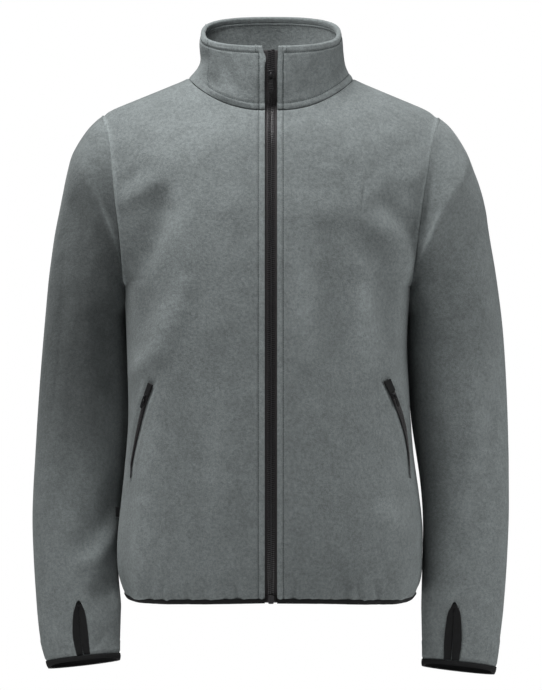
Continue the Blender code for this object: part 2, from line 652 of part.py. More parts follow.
def wall(name, grid, finish, thick=CLOTH, proud=0.0, cut=(), ring=False):
    """A closed wall on rows of (point, normal). Its outer face stands proud of the points, one size or
    one for each row, and it is thick towards the inside. cut holds the (row, column) of faces left out,
    and ring joins each row's ends. Points in one place are one, and the faces point outwards."""
    count = len(grid[0])
    stand = proud if isinstance(proud, list) else [proud] * len(grid)
    outer, inner, number, order = [], [], {}, []
    for row, out in zip(grid, stand):
        for point, normal in row:
            key = tuple(round(value, 6) for value in point + normal * out)
            if key not in number:
                number[key] = len(outer)
                outer.append(point + normal * out)
                inner.append(point + normal * (out - thick))
            order.append(number[key])
    quads = []
    for j in range(len(grid) - 1):
        for i in range(count if ring else count - 1):
            if (j, i) not in cut:
                after = (i + 1) % count
                places = (j * count + i, j * count + after, (j + 1) * count + after, (j + 1) * count + i)
                quad = tuple(dict.fromkeys(order[place] for place in places))
                if len(quad) > 2:
                    quads.append(quad)
    a, b, c = quads[0][:3]
    facing = (outer[b] - outer[a]).cross(outer[c] - outer[b]).dot(outer[a] - inner[a])
    if facing < 0:
        quads = [quad[::-1] for quad in quads]
    edges = {(quad[k], quad[(k + 1) % len(quad)]) for quad in quads for k in range(len(quad))}
    shift = len(outer)
    faces = list(quads)
    faces += [tuple(i + shift for i in quad[::-1]) for quad in quads]
    faces += [(b, a, a + shift, b + shift) for a, b in sorted(edges) if (b, a) not in edges]
    used = sorted({i for face in faces for i in face})
    place = {old: new for new, old in enumerate(used)}
    both = outer + inner
    return add_object(name, [both[i] for i in used], [tuple(place[i] for i in face) for face in faces], finish)


def block(name, size, finish, bevel):
    """A box with rounded edges, centred on its own origin."""
    x, y, z = (s / 2 for s in size)
    corners = [(a * x, b * y, c * z) for a in (-1, 1) for b in (-1, 1) for c in (-1, 1)]
    faces = [(0, 1, 3, 2), (4, 6, 7, 5), (0, 4, 5, 1), (2, 3, 7, 6), (0, 2, 6, 4), (1, 5, 7, 3)]
    made = add_object(name, corners, faces, finish)
    if bevel:
        rounding = made.modifiers.new("rounding", "BEVEL")
        rounding.width, rounding.segments = bevel, 2
    return made


def helper(made):
    """Marks a cutter or a piece that a Boolean joins, so it isn't a part of its own."""
    made.hide_render = True
    made.display_type = "WIRE"
    return made


def combine(target, other, operation):
    joined = target.modifiers.new(other.name, "BOOLEAN")
    joined.operation, joined.object, joined.solver = operation, other, "EXACT"


# ---------------------------------------------------------------- the cloth pieces
def make_fronts():
    for word, side in SIDES.items():
        wall(f"front_{word}", body_grid(side, FRONT), FLEECE)


def make_back():
    right, left = body_grid(RIGHT, BACK), body_grid(LEFT, BACK)
    grid = [a[::-1] + b[1:] for a, b in zip(right, left)]
    wall("back", grid, FLEECE)


def make_sleeves():
    rows = sleeve_rows()
    slot = {(j, SLEEVE_COLUMNS_INNER) for j in range(len(rows) - THUMB_ROWS - 1, len(rows) - 1)}
    for word, side in SIDES.items():
        wall(f"sleeve_{word}_front", sleeve_front_grid(side), FLEECE, cut=slot)
        wall(f"sleeve_{word}_back", sleeve_back_grid(side), FLEECE)


def make_collar():
    grid = collar_grid()
    wall("collar_outer", grid, FLEECE)
    stand = [-INNER_LAYER - 0.0015, -INNER_LAYER - 0.0004]
    stand += [-INNER_LAYER] * (len(grid) - 3) + [-TOP_EDGE_LAYER]
    wall("collar_inner", grid, FLEECE, thick=INNER_CLOTH, proud=stand)
    return grid


def make_hem_binding():
    columns = {}
    for side in (RIGHT, LEFT):
        for face in (FRONT, BACK):
            columns[side, face] = [u for u in body_columns(side, face) if u is not None]
    run = [(RIGHT, FRONT, u) for u in columns[RIGHT, FRONT]] + [(RIGHT, BACK, u) for u in columns[RIGHT, BACK][::-1]]
    run += [(LEFT, BACK, u) for u in columns[LEFT, BACK][1:]] + [(LEFT, FRONT, u) for u in columns[LEFT, FRONT][::-1]]
    top = V_HEM - SEAM_GAP / 0.76
    grid = []
    for v in (0.0, top):
        grid.append([torso(side, u, v if face == FRONT else 2 - v) for side, face, u in run])
    wall("hem_binding", grid, STRETCH, thick=BINDING, proud=BINDING_PROUD)


def make_cuff_bindings():
    turns = evenly(0, 2 * math.pi, 24)[:-1]
    first = CUFF_EDGE + SEAM_GAP / 0.010 / len(SLEEVE)
    for word, side in SIDES.items():
        grid = [[sleeve(side, turn, at) for turn in turns] for at in (first, 1.0)]
        wall(f"cuff_binding_{word}", grid, STRETCH, thick=BINDING, proud=BINDING_PROUD, ring=True)


def make_thumb_bindings():
    """A band round the slot, open below, where the cuff's binding closes it."""
    rows = sleeve_rows()[-THUMB_ROWS:]
    first = THUMB_TOP + (rows[0] - THUMB_TOP) * 0.25
    for word, side in SIDES.items():
        grid, turn = [], THUMB_TURN[side]
        for j, at in enumerate([first] + rows):
            girth = sleeve_half_girth(side, at)
            outer = (thumb_half_width(at) if j else thumb_half_width(rows[0]) * 0.25) - 1.5 * SEAM_GAP
            inner = THUMB_GAP_HALF * smooth_step(0, 3, j) if j > 1 else outer * 0.1
            inner, outer = inner / girth, outer / girth
            turns = (turn - outer, turn - inner, turn + inner, turn + outer)
            grid.append([sleeve(side, turn, at) for turn in turns])
        slot = {(j, 1) for j in range(1, THUMB_ROWS)}
        wall(f"thumb_binding_{word}", grid, STRETCH, thick=0.0034, proud=0.0006, cut=slot)


# ---------------------------------------------------------------- the front zip
def make_zip_tapes(collar):
    """Each tape lies behind the edge of its front and of the collar, made from their own points."""
    depth = CLOTH + SEAM_GAP
    for word, side in SIDES.items():
        centre = SEAM_GAP / 2 * side
        bottom = []
        for z in (BOX_BOTTOM + 0.0006, TAPE_WIDENS_Z + 0.0006):
            point, normal = front_place(side, ZIP_HALF, z)
            level = Vector((0, normal.y, normal.z)).normalized()
            beside = Vector((ZIP_HALF * side - 2 * centre, point.y, point.z))
            bottom.append([(Vector((centre, point.y, point.z)), level), (beside, level), (beside, level)])
        grid = bottom
        front = body_grid(side, FRONT)
        place, beside = (0, 1) if side == RIGHT else (-1, -2)
        rows = [(row[0], row[1]) for row in front[:-1]]
        seam, stitch = front[-1][0], front[-1][1]
        bend = (seam[1] + collar[0][place][1]).normalized()
        rows.append(((seam[0] - bend * 0.0009, bend), (stitch[0] - bend * 0.0009, bend)))
        rows += [(row[place], row[beside]) for row in collar[1:-1]]
        for i, (seam, stitch) in enumerate(rows):
            level = Vector((0, seam[1].y, seam[1].z)).normalized()
            lift = Vector((0, 0, 0.0022 if i == 0 else 0))
            seam, stitch = (seam[0] + lift, level), (stitch[0] + lift, stitch[1])
            grid.append([(Vector((centre, seam[0].y, seam[0].z)), level), seam, stitch])
        wall(f"zip_tape_{word}", grid, ZIP_TAPE, thick=TAPE, proud=-depth)


def make_zip_box():
    """The block that holds the two tapes together at the hem. It rests on their faces."""
    box = block("zip_box", BOX_SIZE, ZIP_METAL, 0.0006)
    point, _ = front_place(RIGHT, ZIP_HALF, BOX_BOTTOM + BOX_SIZE[2])
    seat = point.y + CLOTH
    box.location = (0, seat - BOX_SIZE[1] / 2, BOX_BOTTOM + BOX_SIZE[2] / 2)


def make_slider(name, pull_name, size, frame):
    """A zip slider with its crown, and the pull tab whose bar lies under the crown. frame holds the
    place on the tape, and the directions across the tape, out from it and up along it."""
    place, across, out, up = frame
    turn = (across, out, up)

    def put(made, away):
        made.matrix_world = matrix_of(turn, place + out * away)

    body = block(name, (size.width, size.height, size.length), ZIP_METAL, 0.0005)
    put(body, size.height / 2)
    crown = helper(block(f"{name}_crown", (CROWN_WIDTH, size.crown_height, size.crown_length), ZIP_METAL, 0))
    put(crown, size.height + size.crown_height / 2 - 0.0002)
    eye_size = (0.01, size.crown_height - CROWN_WALL, size.crown_length - 2 * CROWN_WALL)
    eye = helper(block(f"{name}_eye", eye_size, ZIP_METAL, 0))
    put(eye, size.height + eye_size[1] / 2)
    combine(crown, eye, "DIFFERENCE")
    combine(body, crown, "UNION")

    bar = size.height + (size.crown_height - CROWN_WALL) / 2
    frame_half = CROWN_WIDTH / 2 + PULL_SIDE_ROOM
    rim = (size.pull_width - 2 * frame_half) / 2
    pull = block(pull_name, (size.pull_width, PULL_THICK, size.pull_length), PULL_RUBBER, 0)
    top = PULL_THICK / 2
    pull.data.transform(translation(0, 0, top - size.pull_length / 2))
    put(pull, bar)
    window_length = size.crown_length + 0.0006
    window = helper(block(f"{pull_name}_window", (2 * frame_half, 0.01, window_length), PULL_RUBBER, 0))
    window.data.transform(translation(0, 0, -PULL_THICK / 2 - window_length / 2))
    put(window, bar)
    combine(pull, window, "DIFFERENCE")
    return place + out * bar, rim


def matrix_of(axes, place):
    from mathutils import Matrix

    across, out, up = axes
    rows = [(across[k], out[k], up[k], place[k]) for k in range(3)]
    return Matrix((*rows, (0, 0, 0, 1)))


def translation(x, y, z):
    from mathutils import Matrix

    return Matrix.Translation((x, y, z))


# ---------------------------------------------------------------- the pocket zips
def front_place(side, x, z):
    """The point and normal of a front at a place seen from the front, below the underarm."""
    v = solve(lambda v: section(v).z - z, 0.0, V_UNDERARM)
    u = solve(lambda u: abs(torso_smooth(side, u, v).x) - x, 0.0, 0.999) if x > ZIP_HALF else 0.0
    return torso(side, u, v)


def pocket_path(side):
    """(point, normal) down the middle of a pocket zip."""
    pocket = POCKETS[side]
    path = []
    for share in evenly(0, 1, POCKET_STEPS):
        bow = pocket.bow * math.sin(math.pi * share)
        x = pocket.top_x + (pocket.low_x - pocket.top_x) * share + bow
        path.append(front_place(side, x, pocket.top_z + (pocket.low_z - pocket.top_z) * share))
    return path


def path_frame(path, i):
    """The point, its direction down the path, across it and out of the cloth."""
    point, normal = path[i]
    down = (path[min(i + 1, len(path) - 1)][0] - path[max(i - 1, 0)][0]).normalized()
    across = normal.cross(down).normalized()
    return point, down, across, normal


def strip_grid(path, width):
    grid = []
    for i in range(len(path)):
        point, _, across, normal = path_frame(path, i)
        grid.append([(point - across * width / 2, normal), (point + across * width / 2, normal)])
    return grid


def make_pockets():
    for word, side in SIDES.items():
        path = pocket_path(side)
        lift = POCKET_LIFT + POCKET_STRIP
        wall(f"pocket_zip_{word}", strip_grid(path, POCKET_WIDTH), ZIP_TAPE, thick=POCKET_STRIP, proud=lift)

        point, down, across, normal = path_frame(path, 0)
        seat = lift + SEAM_GAP
        end = path_frame(path, 1)[0]
        along = (end - point).normalized()
        short = [(point + along * 0.001, normal), (point + along * GARAGE_LENGTH, path_frame(path, 1)[3])]
        wall(f"pocket_garage_{word}", strip_grid(short, GARAGE_WIDTH), STRETCH, thick=GARAGE_HEIGHT, proud=seat + GARAGE_HEIGHT)

        point, down, across, normal = path_frame(path, 2)
        out = (normal - down * normal.dot(down)).normalized()
        frame = (point + out * (seat + 0.0002), down.cross(out).normalized(), out, -down)
        make_slider(f"pocket_slider_{word}", f"pocket_pull_{word}", POCKET_SLIDER, frame)


def make_seam_tab():
    """A small blank tab caught in the right side seam."""
    v = solve(lambda v: section(v).z - TAB_Z, 0.0, V_UNDERARM)
    point, normal = torso(RIGHT, 1.0, v)
    forward = Vector((0, -1, 0))
    out = (normal + forward * 0.55).normalized()
    start = point + out * (SEAM_GAP + 0.0014)
    along = Vector((0, 0, TAB_LENGTH / 2))
    thin = out.cross(along).normalized()
    grid = [[(start - along, thin), (start - along + out * TAB_REACH, thin)]]
    grid.append([(start + along, thin), (start + along + out * TAB_REACH, thin)])
    wall("seam_tab", grid, STRETCH, thick=TAB_THICK)


def make_main_slider(collar):
    """The slider near the top of the closed stretch of the zip."""
    heights = [row[0][0].z for row in collar]
    depths = [row[0][0].y for row in collar]
    y = curve_through(heights, depths, MAIN_SLIDER_Z)
    place = Vector((0, y + CLOTH - 0.0004, MAIN_SLIDER_Z))
    frame = (place, Vector((-1, 0, 0)), Vector((0, -1, 0)), Vector((0, 0, 1)))
    return make_slider("zip_slider", "zip_pull", MAIN_SLIDER, frame)


def clear_scene():
    for existing in list(bpy.data.objects):
        bpy.data.objects.remove(existing)


def main():
    clear_scene()
    make_fronts()
    make_back()
    make_sleeves()
    collar = make_collar()
    make_hem_binding()
    make_cuff_bindings()
    make_thumb_bindings()
    make_zip_tapes(collar)
    make_zip_box()
    make_main_slider(collar)
    make_pockets()
    make_seam_tab()


main()
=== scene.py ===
"""The looks of a fleece zip jacket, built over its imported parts.

Metres, +Z up, the front faces -Y and the wearer's left is +X. Each piece of cloth starts as the outer face of
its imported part, is made smooth, gets its creases and pressed seams, and then its thickness.
"""

import json
import math
from collections import namedtuple
from contextlib import contextmanager

import bpy
import numpy as np
from mathutils import Matrix, Vector, noise
from mathutils.kdtree import KDTree


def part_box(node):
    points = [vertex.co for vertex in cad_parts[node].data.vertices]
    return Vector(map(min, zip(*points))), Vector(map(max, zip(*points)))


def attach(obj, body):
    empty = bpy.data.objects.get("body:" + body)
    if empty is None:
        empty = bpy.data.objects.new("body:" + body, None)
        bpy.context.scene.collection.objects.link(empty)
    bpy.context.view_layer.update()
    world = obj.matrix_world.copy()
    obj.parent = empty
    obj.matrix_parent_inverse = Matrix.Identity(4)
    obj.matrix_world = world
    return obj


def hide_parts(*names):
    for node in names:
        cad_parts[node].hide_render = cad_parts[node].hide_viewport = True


bl_info = {
    "name": "Fleece zip jacket",
    "version": (1, 0, 0),
    "blender": (4, 5, 0),
    "location": "View3D > Sidebar > Jacket",
    "description": "Builds the cloth, bindings, zips and sewing of a fleece jacket over its packed parts",
    "category": "Object",
}

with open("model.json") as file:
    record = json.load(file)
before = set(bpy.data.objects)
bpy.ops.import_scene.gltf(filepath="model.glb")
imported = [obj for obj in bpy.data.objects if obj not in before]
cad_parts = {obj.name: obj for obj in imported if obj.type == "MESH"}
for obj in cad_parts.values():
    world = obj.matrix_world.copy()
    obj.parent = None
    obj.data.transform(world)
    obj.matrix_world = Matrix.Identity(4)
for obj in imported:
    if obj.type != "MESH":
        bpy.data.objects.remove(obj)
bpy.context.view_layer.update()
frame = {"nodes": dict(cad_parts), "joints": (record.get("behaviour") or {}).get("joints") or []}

MM = 0.001
BODY = "jacket"
RIGHT, LEFT = -1, 1
SIDES = {"right": RIGHT, "left": LEFT}
FRONT, BACK = -1, 1
X, Z = 0, 2

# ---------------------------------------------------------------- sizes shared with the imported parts
ZIP_HALF = 7.9 * MM
PLACKET_STITCH = 16.0 * MM
# Where the plane of the collar's top edge passes at the front and at the back, in y and z.
COLLAR_FRONT = (-0.0925, 0.0356)
COLLAR_BACK = (0.0560, 0.0880)
# Each pocket's zip: x and z of its top and of its foot, and how far it bows outwards between them.
POCKETS = {RIGHT: (0.1540, -0.3990, 0.1818, -0.5070, 0.0022), LEFT: (0.1490, -0.3970, 0.1805, -0.5070, 0.0070)}
# Half the width of each pocket's zip, at its top and at its foot.
POCKET_HALF = {RIGHT: (0.0043, 0.0020), LEFT: (0.0055, 0.0017)}

# ---------------------------------------------------------------- edges, shoulders and cuffs
# Edge points below these heights belong to the hem and to the cuffs.
HEM_RIM, CUFF_RIM = -0.668, -0.746
# The hem's lower edge on each side: how far round from the middle of the front (0) to that of the back (1), and height.
HEM_LINE = {
    RIGHT: (
        (0, 0.17, 0.274, 0.36, 0.42, 0.5, 0.6, 0.75, 1),
        (-0.6817, -0.6841, -0.6854, -0.6851, -0.6844, -0.6828, -0.6835, -0.6845, -0.6840),
    ),
    LEFT: (
        (0, 0.104, 0.19, 0.26, 0.32, 0.363, 0.41, 0.5, 0.6, 0.75, 1),
        (-0.6821, -0.6827, -0.6847, -0.6862, -0.6867, -0.6862, -0.6848, -0.6828, -0.6835, -0.6845, -0.6840),
    ),
}
HEM_HEIGHT = 0.0050
HEM_ROUNDING = 0.0013
HEM_RADII = (0.190, 0.120)
HEM_TUCK = 0.0032
# How far the fleece's edge stays below the top of the hem's binding.
HEM_COVER = 0.0018
# Where a shoulder's seam meets the sleeve's, seen from the front, how the cloth is drawn in there and how widely.
SHOULDER_TUCKS = [
    ((-0.2265, -0.0460), (0.0026, -0.0010), 0.0160),
    ((-0.2245, -0.0455), (0.0011, -0.0012), 0.0060),
    ((0.2250, -0.0470), (-0.0040, -0.0018), 0.0160),
    ((0.2225, -0.0485), (-0.0009, -0.0010), 0.0060),
]
UNDERARM_FILL = 0.0050
# The height of the underarm's corner on a front and on a sleeve.
FRONT_UNDERARM, SLEEVE_UNDERARM = -0.272, -0.286
# Which edge points belong to the armhole: on a front those further across than this, on a sleeve those nearer, and
# between which heights.
FRONT_ARMHOLE = (0.17, -0.380, -0.05)
SLEEVE_ARMHOLE = (0.235, -0.285, -0.04)
# How high the fronts' edge stands along each armhole.
ARMHOLE_RIDGE = {RIGHT: 0.0013, LEFT: 0.0007}
# The share of a turn over which an edge is evened.
EDGE_STEP = 0.009
CUFF_MIDDLE, CUFF_HALF = -0.0124, 0.0290
CUFF_RISE = 0.0036

# ---------------------------------------------------------------- creases, as seen from the front
# x0, z0, x1, z1, width, depth. A depth below 0 is a ridge.
BODY_CREASES = [
    (0.0160, -0.0470, 0.0480, -0.0420, 0.0030, 0.0016), (0.0220, -0.0620, 0.0460, -0.0500, 0.0050, 0.0014),
    (-0.1944, -0.1690, -0.1390, -0.1373, 0.0106, -0.0034), (-0.1971, -0.1465, -0.1601, -0.1162, 0.0092, 0.0026),
    (-0.1403, -0.1571, -0.1496, -0.2099, 0.0158, 0.0055), (-0.1496, -0.2099, -0.1654, -0.2495, 0.0145, 0.0045),
    (-0.1073, -0.1703, -0.1113, -0.2719, 0.0185, -0.0060), (-0.1113, -0.2719, -0.1430, -0.3577, 0.0172, -0.0060),
    (-0.1430, -0.3577, -0.1865, -0.3920, 0.0132, -0.0040), (-0.1575, -0.2917, -0.1760, -0.3511, 0.0132, 0.0030),
    (-0.1812, -0.2917, -0.1812, -0.3313, 0.0066, -0.0010), (-0.0651, -0.1729, -0.0334, -0.1782, 0.0290, -0.0030),
    (-0.0862, -0.3208, -0.0598, -0.3313, 0.0343, -0.0012), (-0.1522, -0.4237, -0.1654, -0.5557, 0.0119, -0.0038),
    (-0.1654, -0.5557, -0.1760, -0.6745, 0.0119, -0.0038), (-0.1113, -0.4105, -0.1152, -0.5161, 0.0185, 0.0032),
    (-0.0651, -0.4237, -0.0756, -0.5821, 0.0185, -0.0026), (-0.0545, -0.6349, -0.0466, -0.6772, 0.0079, 0.0016),
    (0.1461, -0.1175, 0.2068, -0.0713, 0.0106, 0.0018), (0.1620, -0.1465, 0.2121, -0.1175, 0.0132, -0.0028),
    (0.1276, -0.1043, 0.1804, -0.0515, 0.0119, -0.0012), (0.1408, -0.1624, 0.1672, -0.1888, 0.0132, 0.0050),
    (0.1672, -0.1888, 0.1963, -0.2178, 0.0132, 0.0050), (0.1250, -0.1901, 0.1540, -0.2204, 0.0158, -0.0052),
    (0.1540, -0.2204, 0.1804, -0.2548, 0.0158, -0.0052), (0.0418, -0.2125, 0.0445, -0.3709, 0.0172, -0.0054),
    (0.0709, -0.2125, 0.0735, -0.3709, 0.0158, 0.0026), (0.1171, -0.2521, 0.1224, -0.3841, 0.0158, -0.0061),
    (0.1488, -0.2653, 0.1540, -0.3511, 0.0132, 0.0025), (0.0326, -0.1808, 0.1092, -0.1808, 0.0211, -0.0038),
    (0.1778, -0.2600, 0.1804, -0.3419, 0.0119, -0.0031), (0.1382, -0.5623, 0.1672, -0.5821, 0.0158, -0.0032),
    (0.1540, -0.6296, 0.1752, -0.6349, 0.0132, 0.0022), (0.0828, -0.6349, 0.0986, -0.6719, 0.0092, 0.0016),
]
# x, how far each leans over its length, its length and depth in millimetres.
HEM_PUCKERS = [
    (-0.1575, 0.006, 22, 1.1), (-0.1416, 0.004, 30, 1.3), (-0.1073, 0.002, 24, 1.2), (-0.0840, -0.002, 16, 0.8),
    (-0.0585, -0.003, 26, 1.3), (-0.0413, -0.005, 32, 1.4), (0.0286, 0.005, 26, 1.3), (0.0480, 0.004, 18, 0.8),
    (0.0760, 0.003, 15, 0.8), (0.0999, -0.002, 24, 1.1), (0.1145, -0.003, 30, 1.3), (0.1382, -0.006, 26, 1.2),
    (0.1640, -0.006, 18, 0.9),
]
# How deep and how wide a turned seam sinks in, and how wide a line of sewing does.
SEAM_DEPTH, SEAM_WIDTH = 0.0010, 0.0026
GROOVE_WIDTH = 0.0011
PUCKER_GAIN = 2.5
PUCKER_FOOT = -0.676
SLEEVE_CREASES = [
    (-0.3317, -0.3973, -0.1337, -0.3973, 0.0950, 0.0140), (-0.3185, -0.1175, -0.1469, -0.0937, 0.0396, -0.0040),
    (-0.2406, -0.1175, -0.2340, -0.1465, 0.0066, -0.0024), (-0.2340, -0.1439, -0.1984, -0.2363, 0.0048, -0.0038),
    (-0.2578, -0.1663, -0.2261, -0.2587, 0.0238, 0.0070), (-0.2261, -0.2587, -0.2103, -0.3709, 0.0185, 0.0050),
    (-0.2354, -0.0832, -0.2327, -0.1016, 0.0053, 0.0020), (-0.2499, -0.0700, -0.2208, -0.0647, 0.0106, -0.0020),
    (-0.2763, -0.1927, -0.2789, -0.3313, 0.0132, 0.0040), (-0.2631, -0.6428, -0.2261, -0.6296, 0.0119, -0.0040),
    (-0.2261, -0.6296, -0.1997, -0.5821, 0.0119, -0.0050), (-0.2314, -0.6745, -0.1971, -0.6772, 0.0158, 0.0070),
    (-0.2340, -0.7511, -0.2156, -0.7300, 0.0053, 0.0014), (0.1435, -0.3577, 0.3547, -0.3577, 0.0924, 0.0080),
    (0.1699, -0.1307, 0.3283, -0.1676, 0.0396, -0.0040), (0.2557, -0.1175, 0.2266, -0.1703, 0.0045, -0.0015),
    (0.2266, -0.1703, 0.1936, -0.2442, 0.0045, -0.0030), (0.2130, -0.1003, 0.1990, -0.1900, 0.0060, 0.0036),
    (0.2016, -0.1769, 0.1950, -0.2152, 0.0053, 0.0026), (0.2808, -0.1940, 0.2438, -0.2363, 0.0211, 0.0060),
    (0.2438, -0.2363, 0.2148, -0.2983, 0.0185, 0.0060), (0.2728, -0.4039, 0.2649, -0.5161, 0.0119, -0.0030),
    (0.2649, -0.5161, 0.2464, -0.5953, 0.0119, -0.0030), (0.2966, -0.4039, 0.2887, -0.5161, 0.0079, 0.0022),
    (0.2887, -0.5161, 0.2702, -0.6019, 0.0079, 0.0028), (0.2702, -0.6019, 0.2464, -0.6547, 0.0079, 0.0030),
    (0.2464, -0.6547, 0.2148, -0.6798, 0.0092, 0.0034), (0.2860, -0.2521, 0.2913, -0.4237, 0.0106, -0.0025),
    (0.2808, -0.6877, 0.2834, -0.7405, 0.0158, -0.0015),
]
COLLAR_CREASES = [
    (-0.0756, -0.0224, -0.0334, -0.0330, 0.0119, -0.0024), (-0.0651, 0.0251, -0.0413, -0.0277, 0.0066, 0.0014),
    (-0.0809, 0.0172, -0.0572, -0.0251, 0.0079, -0.0010), (0.0220, 0.0224, 0.0379, -0.0224, 0.0066, 0.0012),
    (0.0616, 0.0172, 0.0432, -0.0224, 0.0066, 0.0012), (0.0854, 0.0277, 0.0669, -0.0198, 0.0079, -0.0012),
]
CREASE_FADE = 0.45
# Painted highlight and painted shade on folds: how much lighter the nap is painted along a ridge and how much darker
# along a crease, for each metre of its height: on the lower body and on the sleeves.
FOLD_PAINTED_LIGHT_AND_SHADE = (140, 60)
SLEEVE_FOLD_PAINTED_LIGHT_AND_SHADE = (75, 8)
# Each sleeve's painted shade above the elbow: the heights where it starts, is full, begins to fade and ends, and its
# most.
SLEEVE_PAINTED_SHADE = {RIGHT: (-0.035, -0.225, -0.370, -0.640, 1.2), LEFT: (-0.030, -0.200, -0.310, -0.430, 0.29)}
# Soft patches of painted light and painted shade on the front: x, z, how wide and how high, and how much lighter or
# (below 0) darker.
PAINTED_LIGHT_PATCHES = [
    (-0.094, -0.226, 0.050, 0.060, 0.55),
    (-0.124, -0.222, 0.016, 0.060, 0.20),
    (-0.094, -0.085, 0.055, 0.045, 0.34),
    (-0.094, -0.640, 0.080, 0.035, 0.50),
    (-0.176, -0.331, 0.030, 0.080, 0.36),
    (0.091, -0.226, 0.040, 0.050, -0.12),
    (-0.094, -0.358, 0.040, 0.040, -0.11),
    (-0.064, -0.300, 0.020, 0.080, -0.08),
]
# Painted highlights on the collar's front: x, z, how wide and how high, and how much lighter.
COLLAR_PAINTED_LIGHT_PATCHES = [(-0.050, 0.000, 0.032, 0.032, 1.00), (0.060, 0.000, 0.030, 0.030, 0.26)]

# Lines found while the cloth is built, as runs of (point, normal): the sewing and the pockets' zips follow them.
stitch_runs = {}
pocket_runs = {}


# ---------------------------------------------------------------- selecting and changing meshes
def only(*objects):
    """Deselects everything but these objects and makes the first of them active."""
    if bpy.context.object and bpy.context.object.mode != "OBJECT":
        bpy.ops.object.mode_set(mode="OBJECT")
    bpy.ops.object.select_all(action="DESELECT")
    for made in objects:
        made.select_set(True)
    bpy.context.view_layer.objects.active = objects[0]


@contextmanager
def editing(made):
    """Edit mode for one piece, with all of it selected."""
    only(made)
    bpy.ops.object.mode_set(mode="EDIT")
    bpy.ops.mesh.select_mode(type="FACE")
    bpy.ops.mesh.select_all(action="SELECT")
    yield
    bpy.ops.object.mode_set(mode="OBJECT")


def pick(made, mode, test):
    """Goes into edit mode with the faces, edges or points selected that pass the test."""
    only(made)
    bpy.ops.object.mode_set(mode="EDIT")
    bpy.ops.mesh.select_mode(type=mode)
    bpy.ops.mesh.select_all(action="DESELECT")
    bpy.ops.object.mode_set(mode="OBJECT")
    mesh = made.data
    if mode == "FACE":
        mesh.polygons.foreach_set("select", [bool(test(face.center, face.normal)) for face in mesh.polygons])
    elif mode == "EDGE":
        ends = [[mesh.vertices[i].co for i in edge.vertices] for edge in mesh.edges]
        mesh.edges.foreach_set("select", [bool(test(a, b)) for a, b in ends])
    else:
        mesh.vertices.foreach_set("select", [bool(test(point.co)) for point in mesh.vertices])
    bpy.ops.object.mode_set(mode="EDIT")


def new_object(name, data):
    """A new object in the scene that shows this mesh, light or camera."""
    made = bpy.data.objects.new(name, data)
    bpy.context.scene.collection.objects.link(made)
    return made


def new_mesh(name, points, faces):
    """A new mesh of these points and faces."""
    mesh = bpy.data.meshes.new(name)
    mesh.from_pydata(points, [], faces)
    return mesh


def read_vectors(rows, name):
    """A table of x, y and z, with the vector that each row keeps under this name."""
    values = np.empty(len(rows) * 3, np.float32)
    rows.foreach_get(name, values)
    return values.reshape(-1, 3).astype(float)


def coordinates(mesh):
    """Where a mesh's points are."""
    return read_vectors(mesh.vertices, "co")


def edge_pairs(mesh):
    """The two points of each edge."""
    pairs = np.empty(len(mesh.edges) * 2, int)
    mesh.edges.foreach_get("vertices", pairs)
    return pairs.reshape(-1, 2)


def move_points(mesh, points):
    """Takes a mesh's points to these places."""
    mesh.vertices.foreach_set("co", points.astype(np.float32).ravel())
    mesh.update()


def add_attribute(mesh, name, values):
    """Keeps a value for each point, which a finish can read."""
    found = mesh.attributes.get(name) or mesh.attributes.new(name, "FLOAT", "POINT")
    found.data.foreach_set("value", np.asarray(values, np.float32))


def add_modifier(made, kind, **settings):
    """Puts a modifier on a piece, with its settings."""
    modifier = made.modifiers.new(kind.lower(), kind)
    for key, value in settings.items():
        setattr(modifier, key, value)
    return modifier


def apply_modifiers(made):
    """Applies a piece's modifiers in their order."""
    only(made)
    for modifier in list(made.modifiers):
        bpy.ops.object.modifier_apply(modifier=modifier.name)


def round_edges(made, width, segments=2, degrees=30):
    """Rounds the edges that turn by more than this, after any modifiers that the piece has already."""
    if width:
        limit = {"limit_method": "ANGLE", "angle_limit": math.radians(degrees)}
        add_modifier(made, "BEVEL", width=width, segments=segments, **limit)
    apply_modifiers(made)
    made.data.shade_smooth()


# ---------------------------------------------------------------- soft steps and lines round the body
def smooth_step(low, high, value):
    """0 at low, 1 at high and smooth between them. Low may be the greater."""
    t = np.clip((value - low) / (high - low), 0.0, 1.0)
    return t * t * (3 - 2 * t)


def bump_at(distance, width):
    """1 where the distance is 0, and soon 0 where it is more than the width."""
    return np.exp(-((distance / width) ** 2))


def turned(points, radii=HEM_RADII, middle=0.0):
    """How far round from the middle of the front each point is: 0 there, 1 at the back and below 0 on the right."""
    return np.arctan2(points[:, 0] / radii[0], -(points[:, 1] - middle) / radii[1]) / math.pi


def hem_line(points):
    """The height of the hem's lower edge at each point."""
    round_body = turned(points)
    return np.where(
        round_body < 0, np.interp(-round_body, *HEM_LINE[RIGHT]), np.interp(round_body, *HEM_LINE[LEFT])
    )


# ---------------------------------------------------------------- sheets of cloth
def copy_of_part(node, name):
    """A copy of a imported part's mesh, with its loose triangles joined again."""
    mesh = frame["nodes"][node].data.copy()
    mesh.name = name
    mesh.materials.clear()
    for spare in ("custom_normal", "sharp_face", "sharp_edge"):
        if spare in mesh.attributes:
            mesh.attributes.remove(mesh.attributes[spare])
    made = new_object(name, mesh)
    with editing(made):
        bpy.ops.mesh.remove_doubles(threshold=1e-5)
        bpy.ops.mesh.tris_convert_to_quads(face_threshold=math.radians(70), shape_threshold=math.radians(100))
    return made


def keep_outer_face(made, outwards, sharpness):
    """Keeps the face that lies furthest outwards and all that joins it without a sharp edge."""
    far = max((face.center.copy() for face in made.data.polygons), key=Vector(outwards).dot)
    pick(made, "FACE", lambda centre, normal: centre == far)
    bpy.ops.mesh.faces_select_linked_flat(sharpness=math.radians(sharpness))
    bpy.ops.mesh.select_all(action="INVERT")
    bpy.ops.mesh.delete(type="FACE")
    bpy.ops.object.mode_set(mode="OBJECT")


def divide(made, levels):
    """Divides a sheet's faces without moving its surface."""
    add_modifier(made, "SUBSURF", subdivision_type="SIMPLE", levels=levels, render_levels=levels)
    apply_modifiers(made)


